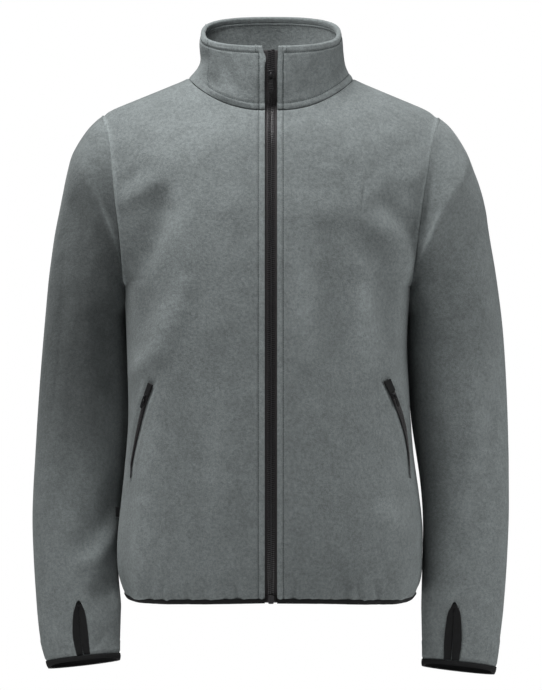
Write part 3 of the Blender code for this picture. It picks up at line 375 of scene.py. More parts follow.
def smooth_through(made, levels):
    """Subdivides a sheet into a smooth one that still passes through its own points."""
    rounding = add_modifier(made, "SUBSURF", levels=1, render_levels=1, boundary_smooth="PRESERVE_CORNERS")
    wanted = coordinates(made.data)
    places = wanted.copy()
    for _ in range(4):
        bpy.context.view_layer.update()
        graph = bpy.context.evaluated_depsgraph_get()
        reached = coordinates(made.evaluated_get(graph).data)[: len(wanted)]
        places += wanted - reached
        move_points(made.data, places)
    rounding.levels = rounding.render_levels = levels
    apply_modifiers(made)


def outer_sheet(node, name, outwards=(0, -1, 0), levels=3, sharpness=52, fine=smooth_through):
    """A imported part's outer face as a new piece with finer faces, and its sheet."""
    made = copy_of_part(node, name)
    keep_outer_face(made, outwards, sharpness)
    fine(made, levels)
    return made, Sheet(made)


class Sheet:
    """A sheet of cloth before it has its thickness: its points, normals, faces and edge points."""

    def __init__(self, made):
        self.made = made
        self.read()

    def read(self):
        """Reads the mesh again after it has been changed from outside."""
        mesh = self.made.data
        self.points, self.normals = coordinates(mesh), read_vectors(mesh.vertex_normals, "vector")
        self.faces = [tuple(face.vertices) for face in mesh.polygons]
        used = np.zeros(len(mesh.edges), int)
        loops = np.empty(len(mesh.loops), int)
        mesh.loops.foreach_get("edge_index", loops)
        np.add.at(used, loops, 1)
        self.rim_pairs = edge_pairs(mesh)[used == 1]
        self.rim = np.unique(self.rim_pairs)

    def place(self, points):
        """Takes the points to new places."""
        self.points = points
        move_points(self.made.data, points)
        self.normals = read_vectors(self.made.data.vertex_normals, "vector")

    def lift(self, height):
        """Moves each point along its normal by its height."""
        self.place(self.points + self.normals * np.asarray(height)[:, None])

    def shift(self, x=0.0, y=0.0, z=0.0):
        """Moves each point by so much along each axis."""
        vectors = np.zeros_like(self.points)
        for column, amount in enumerate((x, y, z)):
            vectors[:, column] = amount
        self.place(self.points + vectors)

    def tuck_shoulders(self):
        """Rounds off the corners where the shoulder seams meet the sleeves."""
        across, up = np.zeros((2, len(self.points)))
        for place, drawn, radius in SHOULDER_TUCKS:
            near = bump_at(np.linalg.norm(self.points[:, (0, 2)] - place, axis=1), radius)
            across += near * drawn[0]
            up += near * drawn[1]
        self.shift(x=across, z=up)

    def even_hem(self, from_hem):
        """Brings the hem's edge to its even line, a little behind the top of its binding."""
        rim = self.points[self.rim]
        rim = rim[rim[:, 2] < HEM_RIM]
        now, _ = self.extremes(turned(rim), rim[:, 2], EDGE_STEP, turned(self.points))
        up = (hem_line(self.points) + HEM_HEIGHT - HEM_COVER - now) * smooth_step(0.014, 0.0, from_hem)
        x = self.points[:, 0]
        out = smooth_step(0.176, 0.195, np.abs(x)) * smooth_step(0.016, 0.0, from_hem)
        self.shift(x=-np.sign(x) * HEM_TUCK * out, z=up)

    def extremes(self, places, values, step, wanted=None):
        """The least and the most value at about each wanted place, drawn smoothly from step to step."""
        wanted = places if wanted is None else wanted
        spot = np.round((places - places.min()) / step).astype(int)
        low, high = np.full(spot.max() + 1, 9.0), np.full(spot.max() + 1, -9.0)
        np.minimum.at(low, spot, values)
        np.maximum.at(high, spot, values)
        found = np.flatnonzero(low < 9)
        levels = places.min() + found * step
        evened = []
        for row in (low[found], high[found]):
            wide = np.pad(row, 1, mode="edge")
            evened.append(np.interp(wanted, levels, (wide[:-2] + 2 * wide[1:-1] + wide[2:]) / 4))
        return evened

    def height_share(self, round_it):
        """How high each point of a band lies between the band's edges there: 0 at the lower, 1 at the upper."""
        low, high = self.extremes(round_it, self.points[:, 2], EDGE_STEP)
        return np.clip((self.points[:, 2] - low) / np.maximum(high - low, 1e-4), 0, 1)

    def reach(self, chosen):
        """How far each point is from the nearest chosen edge point."""
        tree = KDTree(len(chosen))
        for place, index in enumerate(chosen):
            tree.insert(self.points[index], place)
        tree.balance()
        return np.array([tree.find(point)[2] for point in self.points])

    def rim_where(self, test):
        """The edge points that pass a test of x, y and z."""
        x, y, z = self.points[self.rim].T
        return self.rim[test(x, y, z)]

    def crease(self, creases):
        """The height that a table of creases gives each point."""
        height = np.zeros(len(self.points))
        seen = self.points[:, (0, 2)]
        facing = np.clip(-1.6 * self.normals[:, 1], 0, 1)
        for x0, z0, x1, z1, width, depth in creases:
            start, along = np.array((x0, z0)), np.array((x1 - x0, z1 - z0))
            share = (seen - start) @ along / (along @ along)
            away = np.linalg.norm(seen - start - np.clip(share, 0, 1)[:, None] * along, axis=1)
            ends = smooth_step(-CREASE_FADE, CREASE_FADE, share) * smooth_step(-CREASE_FADE, CREASE_FADE, 1 - share)
            height -= depth * bump_at(away, width) * ends * facing
        return height

    def relax(self, weight, rounds):
        """Evens out kinks: draws each point towards its neighbours, along its normal, by its weight."""
        one, other = edge_pairs(self.made.data).T
        count = np.bincount(np.r_[one, other], minlength=len(self.points))
        for _ in range(rounds):
            total = np.stack([
                np.bincount(one, row[other], len(row)) + np.bincount(other, row[one], len(row)) for row in self.points.T
            ], 1)
            away = ((total / count[:, None] - self.points) * self.normals).sum(1)
            self.points = self.points + self.normals * (away * weight)[:, None]
        self.place(self.points)

    def unevenness(self, size, seed):
        """Soft noise from -1 to 1, one value for each point."""
        shift = Vector((seed, seed * 1.7, -seed))
        return np.array([noise.noise(Vector(point) / size + shift) for point in self.points])

    def level_line(self, values, level):
        """The runs of (point, normal) along which values reach the level."""
        above = values > level
        links, places = {}, {}
        for face in self.faces:
            marks = [above[i] for i in face]
            if all(marks) or not any(marks):
                continue
            cuts = []
            for a, b in zip(face, face[1:] + face[:1]):
                if above[a] != above[b]:
                    key = (min(a, b), max(a, b))
                    share = (level - values[key[0]]) / (values[key[1]] - values[key[0]])
                    places[key] = tuple(
                        row[key[0]] + (row[key[1]] - row[key[0]]) * share for row in (self.points, self.normals)
                    )
                    cuts.append(key)
            for one, other in zip(cuts[::2], cuts[1::2]):
                links.setdefault(one, []).append(other)
                links.setdefault(other, []).append(one)
        runs, done = [], set()
        for start in sorted(links, key=lambda key: (len(links[key]), key)):
            if start in done:
                continue
            run, here = [], start
            while here is not None:
                done.add(here)
                run.append(places[here])
                here = next((key for key in links[here] if key not in done), None)
            if len(run) > 3:
                runs.append(run)
        return runs


def finish_cloth(made, thickness, rounding=0.0009, segments=2):
    """Gives a sheet its thickness, inwards, and rounds its cut edges."""
    add_modifier(made, "SOLIDIFY", thickness=thickness, offset=-1)
    round_edges(made, rounding, segments, 60)


def dress(made, material):
    """Gives a piece one material."""
    made.data.materials.clear()
    made.data.materials.append(material)


def complete(made, material, slot, *nodes, body=BODY):
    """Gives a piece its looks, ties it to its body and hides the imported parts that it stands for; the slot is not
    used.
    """
    dress(made, material)
    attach(made, body)
    if nodes:
        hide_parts(*nodes)
    return made


# ---------------------------------------------------------------- shader maths
class Wire:
    """A shader socket that takes part in Python sums."""

    def __init__(self, shader, socket):
        self.shader, self.socket = shader, socket

    def math(self, operation, *values):
        """The result of one kind of sum on wires or numbers."""
        return self.shader.node("ShaderNodeMath", {"operation": operation}, dict(enumerate(values)))[0]

    def __add__(self, other):
        return self.math("ADD", self, other)

    def __mul__(self, other):
        return self.math("MULTIPLY", self, other)

    def between(self, low, high):
        """0 below low, 1 above high, and smooth between them."""
        return self.shader.node(
            "ShaderNodeMapRange", {"interpolation_type": "SMOOTHSTEP"}, {"Value": self, 1: low, 2: high}
        )[0]


class Outputs:
    """A shader node's outputs, each as a Wire."""

    def __init__(self, shader, node):
        self.shader, self.node = shader, node

    def __getitem__(self, key):
        return Wire(self.shader, self.node.outputs[key])


class Shader:
    """The nodes of one finish."""

    def __init__(self, name):
        self.material = bpy.data.materials.new(name)
        self.material.use_nodes = True
        self.tree = self.material.node_tree
        self.tree.nodes.clear()
        self.place = self.node("ShaderNodeTexCoord")["Object"]

    def node(self, kind, settings=None, values=None):
        """A node of that type, with its settings made first and then its sockets set or linked."""
        made = self.tree.nodes.new(kind)
        for key, value in (settings or {}).items():
            setattr(made, key, value)
        for key, value in (values or {}).items():
            if isinstance(value, Wire):
                self.tree.links.new(value.socket, made.inputs[key])
            elif np.size(value) == 3:
                made.inputs[key].default_value = (*value, 1.0)
            else:
                made.inputs[key].default_value = value
        return Outputs(self, made)

    def noise(self, size, detail=2.0, roughness=0.5):
        """Noise whose features are about this size, in metres."""
        values = {"Vector": self.place, "Scale": 1 / size, "Detail": detail, "Roughness": roughness}
        return self.node("ShaderNodeTexNoise", {}, values)["Fac"]

    def bands(self, axis, scale, distortion):
        """Even waves that follow one another along an axis."""
        values = {"Vector": self.place, "Scale": scale, "Distortion": distortion, "Detail": 1.0}
        return self.node("ShaderNodeTexWave", {"wave_type": "BANDS", "bands_direction": axis}, values)["Fac"]

    def attribute(self, name):
        """The value that a piece keeps under this name for each point."""
        return self.node("ShaderNodeAttribute", {"attribute_name": name})["Fac"]

    def mix(self, share, first, second, blend="MIX"):
        """A colour between two others, or another blend of them."""
        settings = {"data_type": "RGBA", "blend_type": blend}
        return self.node("ShaderNodeMix", settings, {0: share, 6: first, 7: second})[2]

    def times(self, first, second):
        """A colour times another."""
        return self.mix(1.0, first, second, "MULTIPLY")

    def between_shades(self, share, colour, dark, light):
        """A colour that goes from a darker to a lighter shade of itself."""
        return self.mix(share, shade(colour, dark), shade(colour, light))

    def relief(self, height, depth, strength=1.0):
        """A normal that follows a height from 0 to 1, of so many metres."""
        return self.node("ShaderNodeBump", {}, {"Height": height, "Distance": depth, "Strength": strength})["Normal"]

    def finish(self, colour, normal=None, **sockets):
        """The material with this colour. The other sockets go by their names, with _ for a space."""
        values = {"Base Color": colour, **{key.replace("_", " "): value for key, value in sockets.items()}}
        if normal:
            values["Normal"] = normal
        shader = self.node("ShaderNodeBsdfPrincipled", {}, values)["BSDF"]
        self.node("ShaderNodeOutputMaterial", {}, {"Surface": shader})
        return self.material


WHITE = (1.0, 1.0, 1.0)


def shade(colour, share):
    """A darker or lighter shade of a colour."""
    return tuple(value * share for value in colour)


def once(name):
    """Makes a finish of this name when it is first asked for, and gives the same one after that."""

    def keep(build):
        return lambda *values: bpy.data.materials.get(name) or build(Shader(name), *values)

    return keep


@once("brushed_fleece")
def fleece_finish(shader, settings):
    """Brushed fleece: short tufts, a soft curl between them, faint mottling, a pale nap at seams, and painted light and
    shade.
    """
    tuft = shader.noise(settings.nap, 3.0, 0.65)
    curl = shader.noise(settings.nap * 3.1, 2.0, 0.55)
    mottle = shader.noise(0.022, 2.0, 0.5)
    grain = shader.between_shades((tuft * 0.6 + curl * 0.4).between(0.28, 0.72), tuple(settings.fleece), 0.70, 1.30)
    tone = shader.between_shades(mottle.between(0.3, 0.7), WHITE, 0.93, 1.06)
    # Painted shade darkens the colour by each point's value; the other value lightens it, for the nap at seams and for
    # painted highlights.
    painted_shade_colour = shader.between_shades(shader.attribute("painted_shade"), WHITE, 1.0, settings.painted_shade_tone)
    nap = shader.mix(shader.attribute("pressed_and_painted_light"), painted_shade_colour, shade(WHITE, settings.pressed_and_painted_light_tone))
    normal = shader.relief(tuft * 0.55 + curl * 0.8, 0.0011, 0.7)
    return shader.finish(
        shader.times(shader.times(grain, tone), nap), normal, Roughness=0.93, Sheen_Weight=settings.sheen,
        Sheen_Roughness=0.55, Sheen_Tint=(0.86, 0.93, 0.93), Specular_IOR_Level=0.2,
    )


@once("stretch_knit")
def binding_finish(shader, settings):
    """Matt stretch knit with fine ribs."""
    fine, coarse = shader.noise(0.0007, 2.0), shader.noise(0.006, 2.0)
    face = shader.between_shades((fine * 0.7 + coarse * 0.3).between(0.3, 0.7), tuple(settings.binding), 0.7, 1.45)
    normal = shader.relief(fine, 0.0005, 0.6)
    return shader.finish(
        face, normal, Roughness=0.85, Sheen_Weight=0.04, Sheen_Roughness=0.5, Specular_IOR_Level=0.18
    )


def woven(shader, colour):
    """Woven zip tape: fine cords along it and picks across."""
    weave = shader.bands("X", 260.0, 0.6) * 0.6 + shader.bands("Z", 330.0, 0.5) * 0.4
    worn = shader.noise(0.009, 2.0)
    face = shader.between_shades((weave * 0.7 + worn * 0.5).between(0.25, 0.95), colour, 0.7, 1.7)
    normal = shader.relief(weave, 0.00035, 0.7)
    return shader.finish(face, normal, Roughness=0.74, Sheen_Weight=0.05, Specular_IOR_Level=0.35)


@once("zip_weave")
def tape_finish(shader, settings):
    """The weave of the front zip's tapes."""
    return woven(shader, tuple(settings.tape))


@once("pocket_weave")
def pocket_finish(shader, settings):
    """The same weave in the shade of the pocket's lips."""
    return woven(shader, shade(settings.tape, 0.6))


def scuffed(shader, colour, roughness, **more):
    """Moulded or painted black trim, with faint scuffs."""
    scuff = shader.noise(0.0011, 4.0, 0.7)
    face = shader.between_shades(scuff.between(0.42, 0.75), colour, 0.85, 1.6)
    dull = shader.noise(0.003, 3.0) * 0.25 + (roughness - 0.12)
    return shader.finish(face, shader.relief(scuff, 0.00008, 0.4), Roughness=dull, **more)


@once("moulded_teeth")
def tooth_finish(shader):
    """The black of the teeth and the box."""
    return scuffed(shader, (0.030, 0.029, 0.031), 0.38)


@once("painted_metal")
def metal_finish(shader):
    """The black paint of the sliders."""
    return scuffed(shader, (0.020, 0.020, 0.022), 0.42, Metallic=0.6)


@once("pull_rubber")
def rubber_finish(shader):
    """The rubber of the pulls."""
    return scuffed(shader, (0.008, 0.008, 0.0085), 0.78, Specular_IOR_Level=0.2)


@once("sewing_thread")
def thread_finish(shader, settings):
    """Sewing thread in the fleece's own tone, with its twist."""
    twist = shader.noise(0.0004, 1.0)
    face = shader.between_shades(twist.between(0.3, 0.7), tuple(settings.thread), 0.75, 1.25)
    return shader.finish(face, shader.relief(twist, 0.0001, 0.5), Roughness=0.6, Specular_IOR_Level=0.3)


# ---------------------------------------------------------------- what a user would change
def a_number(name, description, default, least=0.0, **more):
    """A setting that is a number."""
    return bpy.props.FloatProperty(name=name, description=description, default=default, min=least, **more)


def a_length(name, description, default, least):
    """A setting that is a length in metres."""
    return a_number(name, description, default, least, unit="LENGTH")


def a_colour(name, description, default):
    """A setting that is a colour."""
    return bpy.props.FloatVectorProperty(
        name=name, description=description, default=default, subtype="COLOR", size=3, min=0, max=1
    )


class JacketSettings(bpy.types.PropertyGroup):
    """Colours and sizes of the jacket's looks."""

    fleece: a_colour("Fleece", "Colour of the fleece", (0.140, 0.156, 0.157))
    binding: a_colour("Binding", "Colour of the stretch binding", (0.0062, 0.0064, 0.0068))
    tape: a_colour("Zip tape", "Colour of the woven zip tapes", (0.018, 0.016, 0.017))
    thread: a_colour("Thread", "Colour of the topstitching", (0.050, 0.060, 0.061))
    nap: a_length("Nap", "Size of a tuft of the brushed face", 0.0013, 0.0002)
    sheen: a_number("Sheen", "How much light the raised nap scatters", 0.15, max=1, subtype="FACTOR")
    # Brightness of the nap at seams and of the painted highlights.
    pressed_and_painted_light_tone: a_number("Pressed tone", "Brightness of the nap where a seam presses it", 1.38)
    # Darkness of the painted shade on folds, patches and sleeves.
    painted_shade_tone: a_number("Turned nap", "Brightness of the nap where it lies the other way", 0.46)
    cloth: a_length("Cloth", "Thickness of the fleece", 0.0025, 0.0005)
    stitch: a_length("Stitch", "Length from one stitch to the next", 0.0031, 0.001)
    tooth: a_length("Tooth pitch", "Distance from one zip tooth to the next on the same tape", 0.0026, 0.001)
    floor: a_colour("Floor", "Colour of the studio floor", (0.86, 0.86, 0.86))
    light_power: a_number("Light", "Power that the studio lights share out", 108.0, subtype="POWER", unit="POWER")
    ambient: a_number("Ambient", "Strength of the light from all round", 0.02, subtype="FACTOR")


# ---------------------------------------------------------------- the body
def placket_height(across):
    """The strip between the zip and its stitching, raised, with the stitching pressed in."""
    strip = smooth_step(ZIP_HALF - 0.001, ZIP_HALF + 0.0025, across) * smooth_step(
        PLACKET_STITCH, PLACKET_STITCH - 0.0035, across
    )
    groove = bump_at(across - PLACKET_STITCH, GROOVE_WIDTH)
    return 0.0008 * strip - 0.0011 * groove + 0.0003 * bump_at(across - PLACKET_STITCH - 0.003, 0.0018)


def placket_pressed(across):
    """How pressed the nap is between the zip and its stitching."""
    return 0.35 * smooth_step(ZIP_HALF - 0.001, ZIP_HALF + 0.002, across) * smooth_step(
        PLACKET_STITCH - 0.0005, PLACKET_STITCH - 0.003, across
    )


def pocket_reach(points, side):
    """How far each point is from a pocket's zip, seen from the front, and how far down the zip it is."""
    top_x, top_z, low_x, low_z, bow = POCKETS[side]
    share = np.clip((top_z - points[:, 2]) / (top_z - low_z), -1, 2)
    inside = np.clip(share, 0, 1)
    x = side * (top_x + (low_x - top_x) * inside + bow * np.sin(math.pi * inside))
    slant = math.cos(math.atan2(low_x - top_x, top_z - low_z))
    return (points[:, 0] - x) * side * slant, share


def pocket_half(down, side):
    """Half the width of a pocket's zip, which tapers down to its foot and goes on a little as a thin line."""
    wide, narrow = POCKET_HALF[side]
    return wide + (narrow - wide) * smooth_step(0.42, 1.0, down) - (narrow - 0.0005) * smooth_step(1.0, 1.04, down)


def pucker_height(sheet, face):
    """Short creases that the stretch binding draws up from the hem."""
    x, z = sheet.points[:, 0], sheet.points[:, 2]
    height = np.zeros(len(x))
    for place, lean, length, depth in HEM_PUCKERS:
        place = place if face == FRONT else -place * 0.93
        up = (z - PUCKER_FOOT) / (length * MM)
        away = x - place - lean * np.clip(up, 0, 1.5)
        fade = smooth_step(1.25, 0.0, up)
        width = 0.0030 + 0.0030 * np.clip(up, 0, 1)
        height -= PUCKER_GAIN * depth * MM * (bump_at(away, width) - 0.45 * bump_at(away - 0.0065, width)) * fade
    return height * (sheet.normals[:, 1] * face > 0.15) * (0.35 + 0.65 * smooth_step(-0.677, -0.665, z))


def hem_roll(from_hem):
    """The cloth above the hem's binding: a low ridge, and an edge that is drawn in under it."""
    return 0.0006 * bump_at(from_hem - 0.004, 0.003) - 0.0019 * bump_at(from_hem, SEAM_WIDTH)


def painted_light_patches(sheet, painted_tones):
    """How much lighter (above 0) or darker each point that faces the front is painted, as painted light and shade."""
    x, y, z = sheet.points.T
    total = sum(amount * bump_at(x - at, wide) * bump_at(z - level, high) for at, level, wide, high, amount in painted_tones)
    return total * (sheet.normals[:, 1] < 0)


def build_front(word, settings):
    """A front: its folds, placket, pocket mouth and hem."""
    side = SIDES[word]
    made, sheet = outer_sheet(f"front_{word}", f"fleece_front_{word}")
    across = sheet.points[:, 0] * side
    hem = sheet.rim_where(lambda x, y, z: z < HEM_RIM)
    sewn = sheet.rim_where(lambda x, y, z: (x * side > ZIP_HALF + 0.002) & (z > HEM_RIM))
    nearest, low, high = FRONT_ARMHOLE
    armhole = sheet.rim_where(lambda x, y, z: (x * side > nearest) & (z > low) & (z < high))
    from_sewn, from_arm, from_hem = (sheet.reach(edge) for edge in (sewn, armhole, hem))
    still = smooth_step(0.0, 0.010, np.minimum(from_sewn, across - ZIP_HALF + 0.002))
    underarm = bump_at(sheet.points[:, 2] - FRONT_UNDERARM, 0.030) * smooth_step(0.090, 0.130, across)
    sheet.relax(underarm * smooth_step(0.0, 0.005, from_sewn), rounds=200)

    # The cloth's own folds, its placket, the puckers at its hem and the turned seams.
    z, ahead = sheet.points[:, 2], sheet.normals[:, 1] < 0
    folds = sheet.crease(BODY_CREASES) * still
    height = folds + 0.0005 * sheet.unevenness(0.055, 3.0 + side) * still
    height += 0.00022 * sheet.unevenness(0.017, 9.0 + side) * still
    height += placket_height(across) * smooth_step(0, 0.004, from_sewn)
    height += pucker_height(sheet, FRONT) * smooth_step(ZIP_HALF + 0.008, ZIP_HALF + 0.014, across)
    height -= SEAM_DEPTH * bump_at(from_sewn, SEAM_WIDTH) * smooth_step(0.004, 0.010, from_arm)
    arm_only = smooth_step(-0.262, -0.235, z) * smooth_step(-0.050, -0.070, z)
    ridge = ARMHOLE_RIDGE[side] * bump_at(from_arm - 0.0030, 0.0026)
    height += (ridge - 0.0003 * bump_at(from_arm, 0.0009)) * arm_only
    height += hem_roll(from_hem)

    # The pocket's mouth: a bed for its zip, between two lips.
    from_zip, down = pocket_reach(sheet.points, side)
    near = smooth_step(-0.05, 0.0, down) * smooth_step(1.24, 1.10, down)
    mouth = pocket_half(down, side)
    lips = 0.0009 * bump_at(np.abs(from_zip) - mouth - 0.0048, 0.0028) * near * (1 - 0.55 * np.clip(down, 0, 1))
    bed = 0.0012 * smooth_step(mouth + 0.0030, mouth + 0.0004, np.abs(from_zip)) * near
    sheet.lift(height + np.where(ahead, lips - bed, 0))
    sheet.tuck_shoulders()
    sheet.even_hem(from_hem)

    z, ahead = sheet.points[:, 2], sheet.normals[:, 1] < 0
    # Painted light and shade: the patches, and the folds below the chest painted lighter on ridges and darker in
    # creases.
    painted_tones = painted_light_patches(sheet, PAINTED_LIGHT_PATCHES)
    low_folds = folds * smooth_step(-0.20, -0.30, z) * ahead
    painted_tones += np.where(low_folds > 0, FOLD_PAINTED_LIGHT_AND_SHADE[0], FOLD_PAINTED_LIGHT_AND_SHADE[1]) * low_folds
    # A pale nap between the placket's zip and stitching; along the armhole a pale line that is pressed nap and a
    # painted highlight on the seam's raised edge.
    pressed_and_painted_light = placket_pressed(across) + bump_at(from_arm - 0.0016, 0.0030) * smooth_step(-0.375, -0.320, z)
    pressed_and_painted_light += 0.12 * bump_at(from_hem, 0.003) + np.maximum(painted_tones, 0)
    add_attribute(made.data, "pressed_and_painted_light", np.clip(pressed_and_painted_light, 0, 1))
    add_attribute(made.data, "painted_shade", np.maximum(-painted_tones, 0))

    stitch_runs[f"placket_{word}"] = sheet.level_line(across, PLACKET_STITCH)
    low_z, high_z = POCKETS[side][3], POCKETS[side][1]
    pocket_runs[word] = [
        [place for place in run if low_z - 0.018 < place[0][2] < high_z] for run in sheet.level_line(from_zip, 0.0)
        if run[len(run) // 2][1][1] < 0
    ]
    finish_cloth(made, settings.cloth)
    return complete(made, fleece_finish(settings), "fleece", f"front_{word}")


def build_back(settings):
    """The back: its hem, puckers and turned seams."""
    made, sheet = outer_sheet("back", "fleece_back", (0, 1, 0))
    from_hem = sheet.reach(sheet.rim_where(lambda x, y, z: z < HEM_RIM))
    from_sewn = sheet.reach(sheet.rim_where(lambda x, y, z: z > HEM_RIM))
    still = smooth_step(0.0, 0.010, from_sewn)
    height = 0.0007 * sheet.unevenness(0.060, 5.0) * still + 0.00025 * sheet.unevenness(0.018, 11.0) * still
    height += pucker_height(sheet, BACK) * still - SEAM_DEPTH * bump_at(from_sewn, SEAM_WIDTH)
    height += hem_roll(from_hem)
    sheet.lift(height)
    sheet.tuck_shoulders()
    sheet.even_hem(from_hem)
    add_attribute(made.data, "pressed_and_painted_light", 0.21 * bump_at(from_sewn - 0.0012, 0.0018))
    # The largest piece, thinned out to less than 200,000 triangles.
    add_modifier(made, "DECIMATE", ratio=0.94)
    finish_cloth(made, settings.cloth, 0)
    return complete(made, fleece_finish(settings), "fleece", "back")


# ---------------------------------------------------------------- sleeves
def sleeve_painted_shade(sheet, side):
    """Painted shade on a sleeve, darker above the elbow and on the inner side beside the body."""
    start, full, fades, end, most = SLEEVE_PAINTED_SHADE[side]
    z = sheet.points[:, 2]
    above = most * smooth_step(start, full, z) * smooth_step(end, fades, z)
    above *= 1 - 0.38 * smooth_step(0.2, 0.8, np.abs(sheet.normals[:, 0]))
    # Painted shade on the inner side, which faces the body, between these heights.
    inwards = smooth_step(0.25, 0.90, -sheet.normals[:, 0] * side)
    beside = 0.66 * inwards * smooth_step(-0.34, -0.42, z) * smooth_step(-0.72, -0.64, z)
    return np.maximum(above, beside)


def build_sleeve(word, half, settings):
    """The front or the back half of a sleeve."""
    side = SIDES[word]
    face = FRONT if half == "front" else BACK
    node = f"sleeve_{word}_{half}"
    made, sheet = outer_sheet(node, f"fleece_{node}", (0, face, 0))
    furthest, low, high = SLEEVE_ARMHOLE
    arm = sheet.rim_where(lambda x, y, z: (np.abs(x) < furthest) & (z > low) & (z < high))
    cuff = sheet.rim_where(lambda x, y, z: z < CUFF_RIM)
    from_rim, from_arm, from_cuff = (sheet.reach(edge) for edge in (sheet.rim, arm, cuff))
    still = smooth_step(0.0, 0.012, from_rim)
    folds = sheet.crease(SLEEVE_CREASES) * still
    height = folds + 0.0006 * sheet.unevenness(0.050, 7.0 + side + face) * still
    height += 0.00025 * sheet.unevenness(0.016, 2.0 + side + face) * still
    height -= 0.0006 * bump_at(from_rim, 0.0022) * smooth_step(0.002, 0.012, from_arm)
    height += 0.0007 * bump_at(from_cuff - 0.0045, 0.003)
    sheet.lift(height)
    sheet.tuck_shoulders()
    x, y, z = sheet.points.T
    corner = smooth_step(0.235, 0.205, np.abs(x)) * bump_at(z - SLEEVE_UNDERARM, 0.016)
    sheet.shift(x=-side * UNDERARM_FILL * corner)

    z = sheet.points[:, 2]
    # Painted highlight on ridges, painted shade in creases and near the left armhole, and a pale nap along the edges.
    pressed_and_painted_light = SLEEVE_FOLD_PAINTED_LIGHT_AND_SHADE[0] * np.maximum(folds, 0) * smooth_step(-0.16, -0.24, z)
    armhole_painted_shade = bump_at(z + 0.155, 0.060) * smooth_step(0.016, 0.004, from_arm) * (side == LEFT)
    painted_shade = sleeve_painted_shade(sheet, side) + SLEEVE_FOLD_PAINTED_LIGHT_AND_SHADE[1] * np.maximum(-folds, 0) + 0.20 * armhole_painted_shade
    add_attribute(made.data, "pressed_and_painted_light", np.clip(pressed_and_painted_light + 0.07 * bump_at(from_rim, 0.002), 0, 1))
    add_attribute(made.data, "painted_shade", np.clip(painted_shade, 0, 1))
    finish_cloth(made, settings.cloth)
    return complete(made, fleece_finish(settings), "fleece", node)


# ---------------------------------------------------------------- collar
# The front edge of the collar on the wearer's right rolls over the zip from one height to the next.
FLAP_HEIGHTS = (0.006, 0.030)
FLAP_WIDTH = 0.0058
# On the wearer's right the collar's seam sinks into the nap, from one place across to the next.
SOFT_SEAM = (-0.072, -0.090)
# How far the collar's stitching is from its top edge and from its seam, and the radius of its rolled edge.
TOPSTITCH, SEAMSTITCH = 0.0080, 0.0085
ROLL = 0.0030
ROLL_ANGLES = (22, 45, 67, 90, 112, 135, 157, 180)
ROLL_TAIL = (0.0015, 0.0030, 0.0045)


def front_side(points):
    """1 where a point is in the front half of the neck and 0 in the back half."""
    return smooth_step(0.030, 0.010, points[:, 1])


def collar_slope():
    """How steeply the collar's top edge rises towards the back."""
    (y0, z0), (y1, z1) = COLLAR_FRONT, COLLAR_BACK
    return (z1 - z0) / (y1 - y0)


def below_top(points):
    """How far each point is below the plane of the collar's top edge."""
    slope = collar_slope()
    level = COLLAR_FRONT[1] + (points[:, 1] - COLLAR_FRONT[0]) * slope
    return (level - points[:, 2]) / math.hypot(1, slope)


def cut_below_top(made, depth):
    """Takes off what is less than this far below the collar's top edge."""
    slope = collar_slope()
    up = Vector((0, -slope, 1)).normalized()
    point = Vector((0, *COLLAR_FRONT)) - up * depth
    with editing(made):
        bpy.ops.mesh.bisect(plane_co=point, plane_no=up, clear_outer=True, clear_inner=False)
    return up


def roll_over(made, sheet):
    """Rolls the collar's top edge over to the inside."""
    up = np.array(cut_below_top(made, ROLL))
    sheet.read()
    top = sheet.rim_where(lambda x, y, z: np.abs(below_top(np.stack((x, y, z), 1)) - ROLL) < 2.5e-4)
    start, out = sheet.points[top], sheet.normals[top]
    out = out - np.outer(out @ up, up)
    out /= np.linalg.norm(out, axis=1)[:, None]
    rows = [start + up * ROLL * math.sin(turn) - out * ROLL * (1 - math.cos(turn)) for turn in np.radians(ROLL_ANGLES)]
    rows += [start - up * down - out * 2 * ROLL for down in ROLL_TAIL]

    points, faces = sheet.points.tolist(), list(sheet.faces)
    directed = {pair for face in faces for pair in zip(face, face[1:] + face[:1])}
    spot = {index: place for place, index in enumerate(top)}
    pairs = [tuple(pair) for pair in sheet.rim_pairs if pair[0] in spot and pair[1] in spot]
    pairs = [pair if pair in directed else pair[::-1] for pair in pairs]
    last = {index: index for index in top}
    for row in rows:
        here = {index: len(points) + spot[index] for index in top}
        points += row.tolist()
        faces += [(last[b], last[a], here[a], here[b]) for a, b in pairs]
        last = here
    pressed_and_painted_light = np.full(len(points), 0.12, np.float32)
    pressed_and_painted_light[: len(sheet.points)] = [row.value for row in made.data.attributes["pressed_and_painted_light"].data]
    made.data = new_mesh(made.name, points, faces)
    add_attribute(made.data, "pressed_and_painted_light", pressed_and_painted_light)


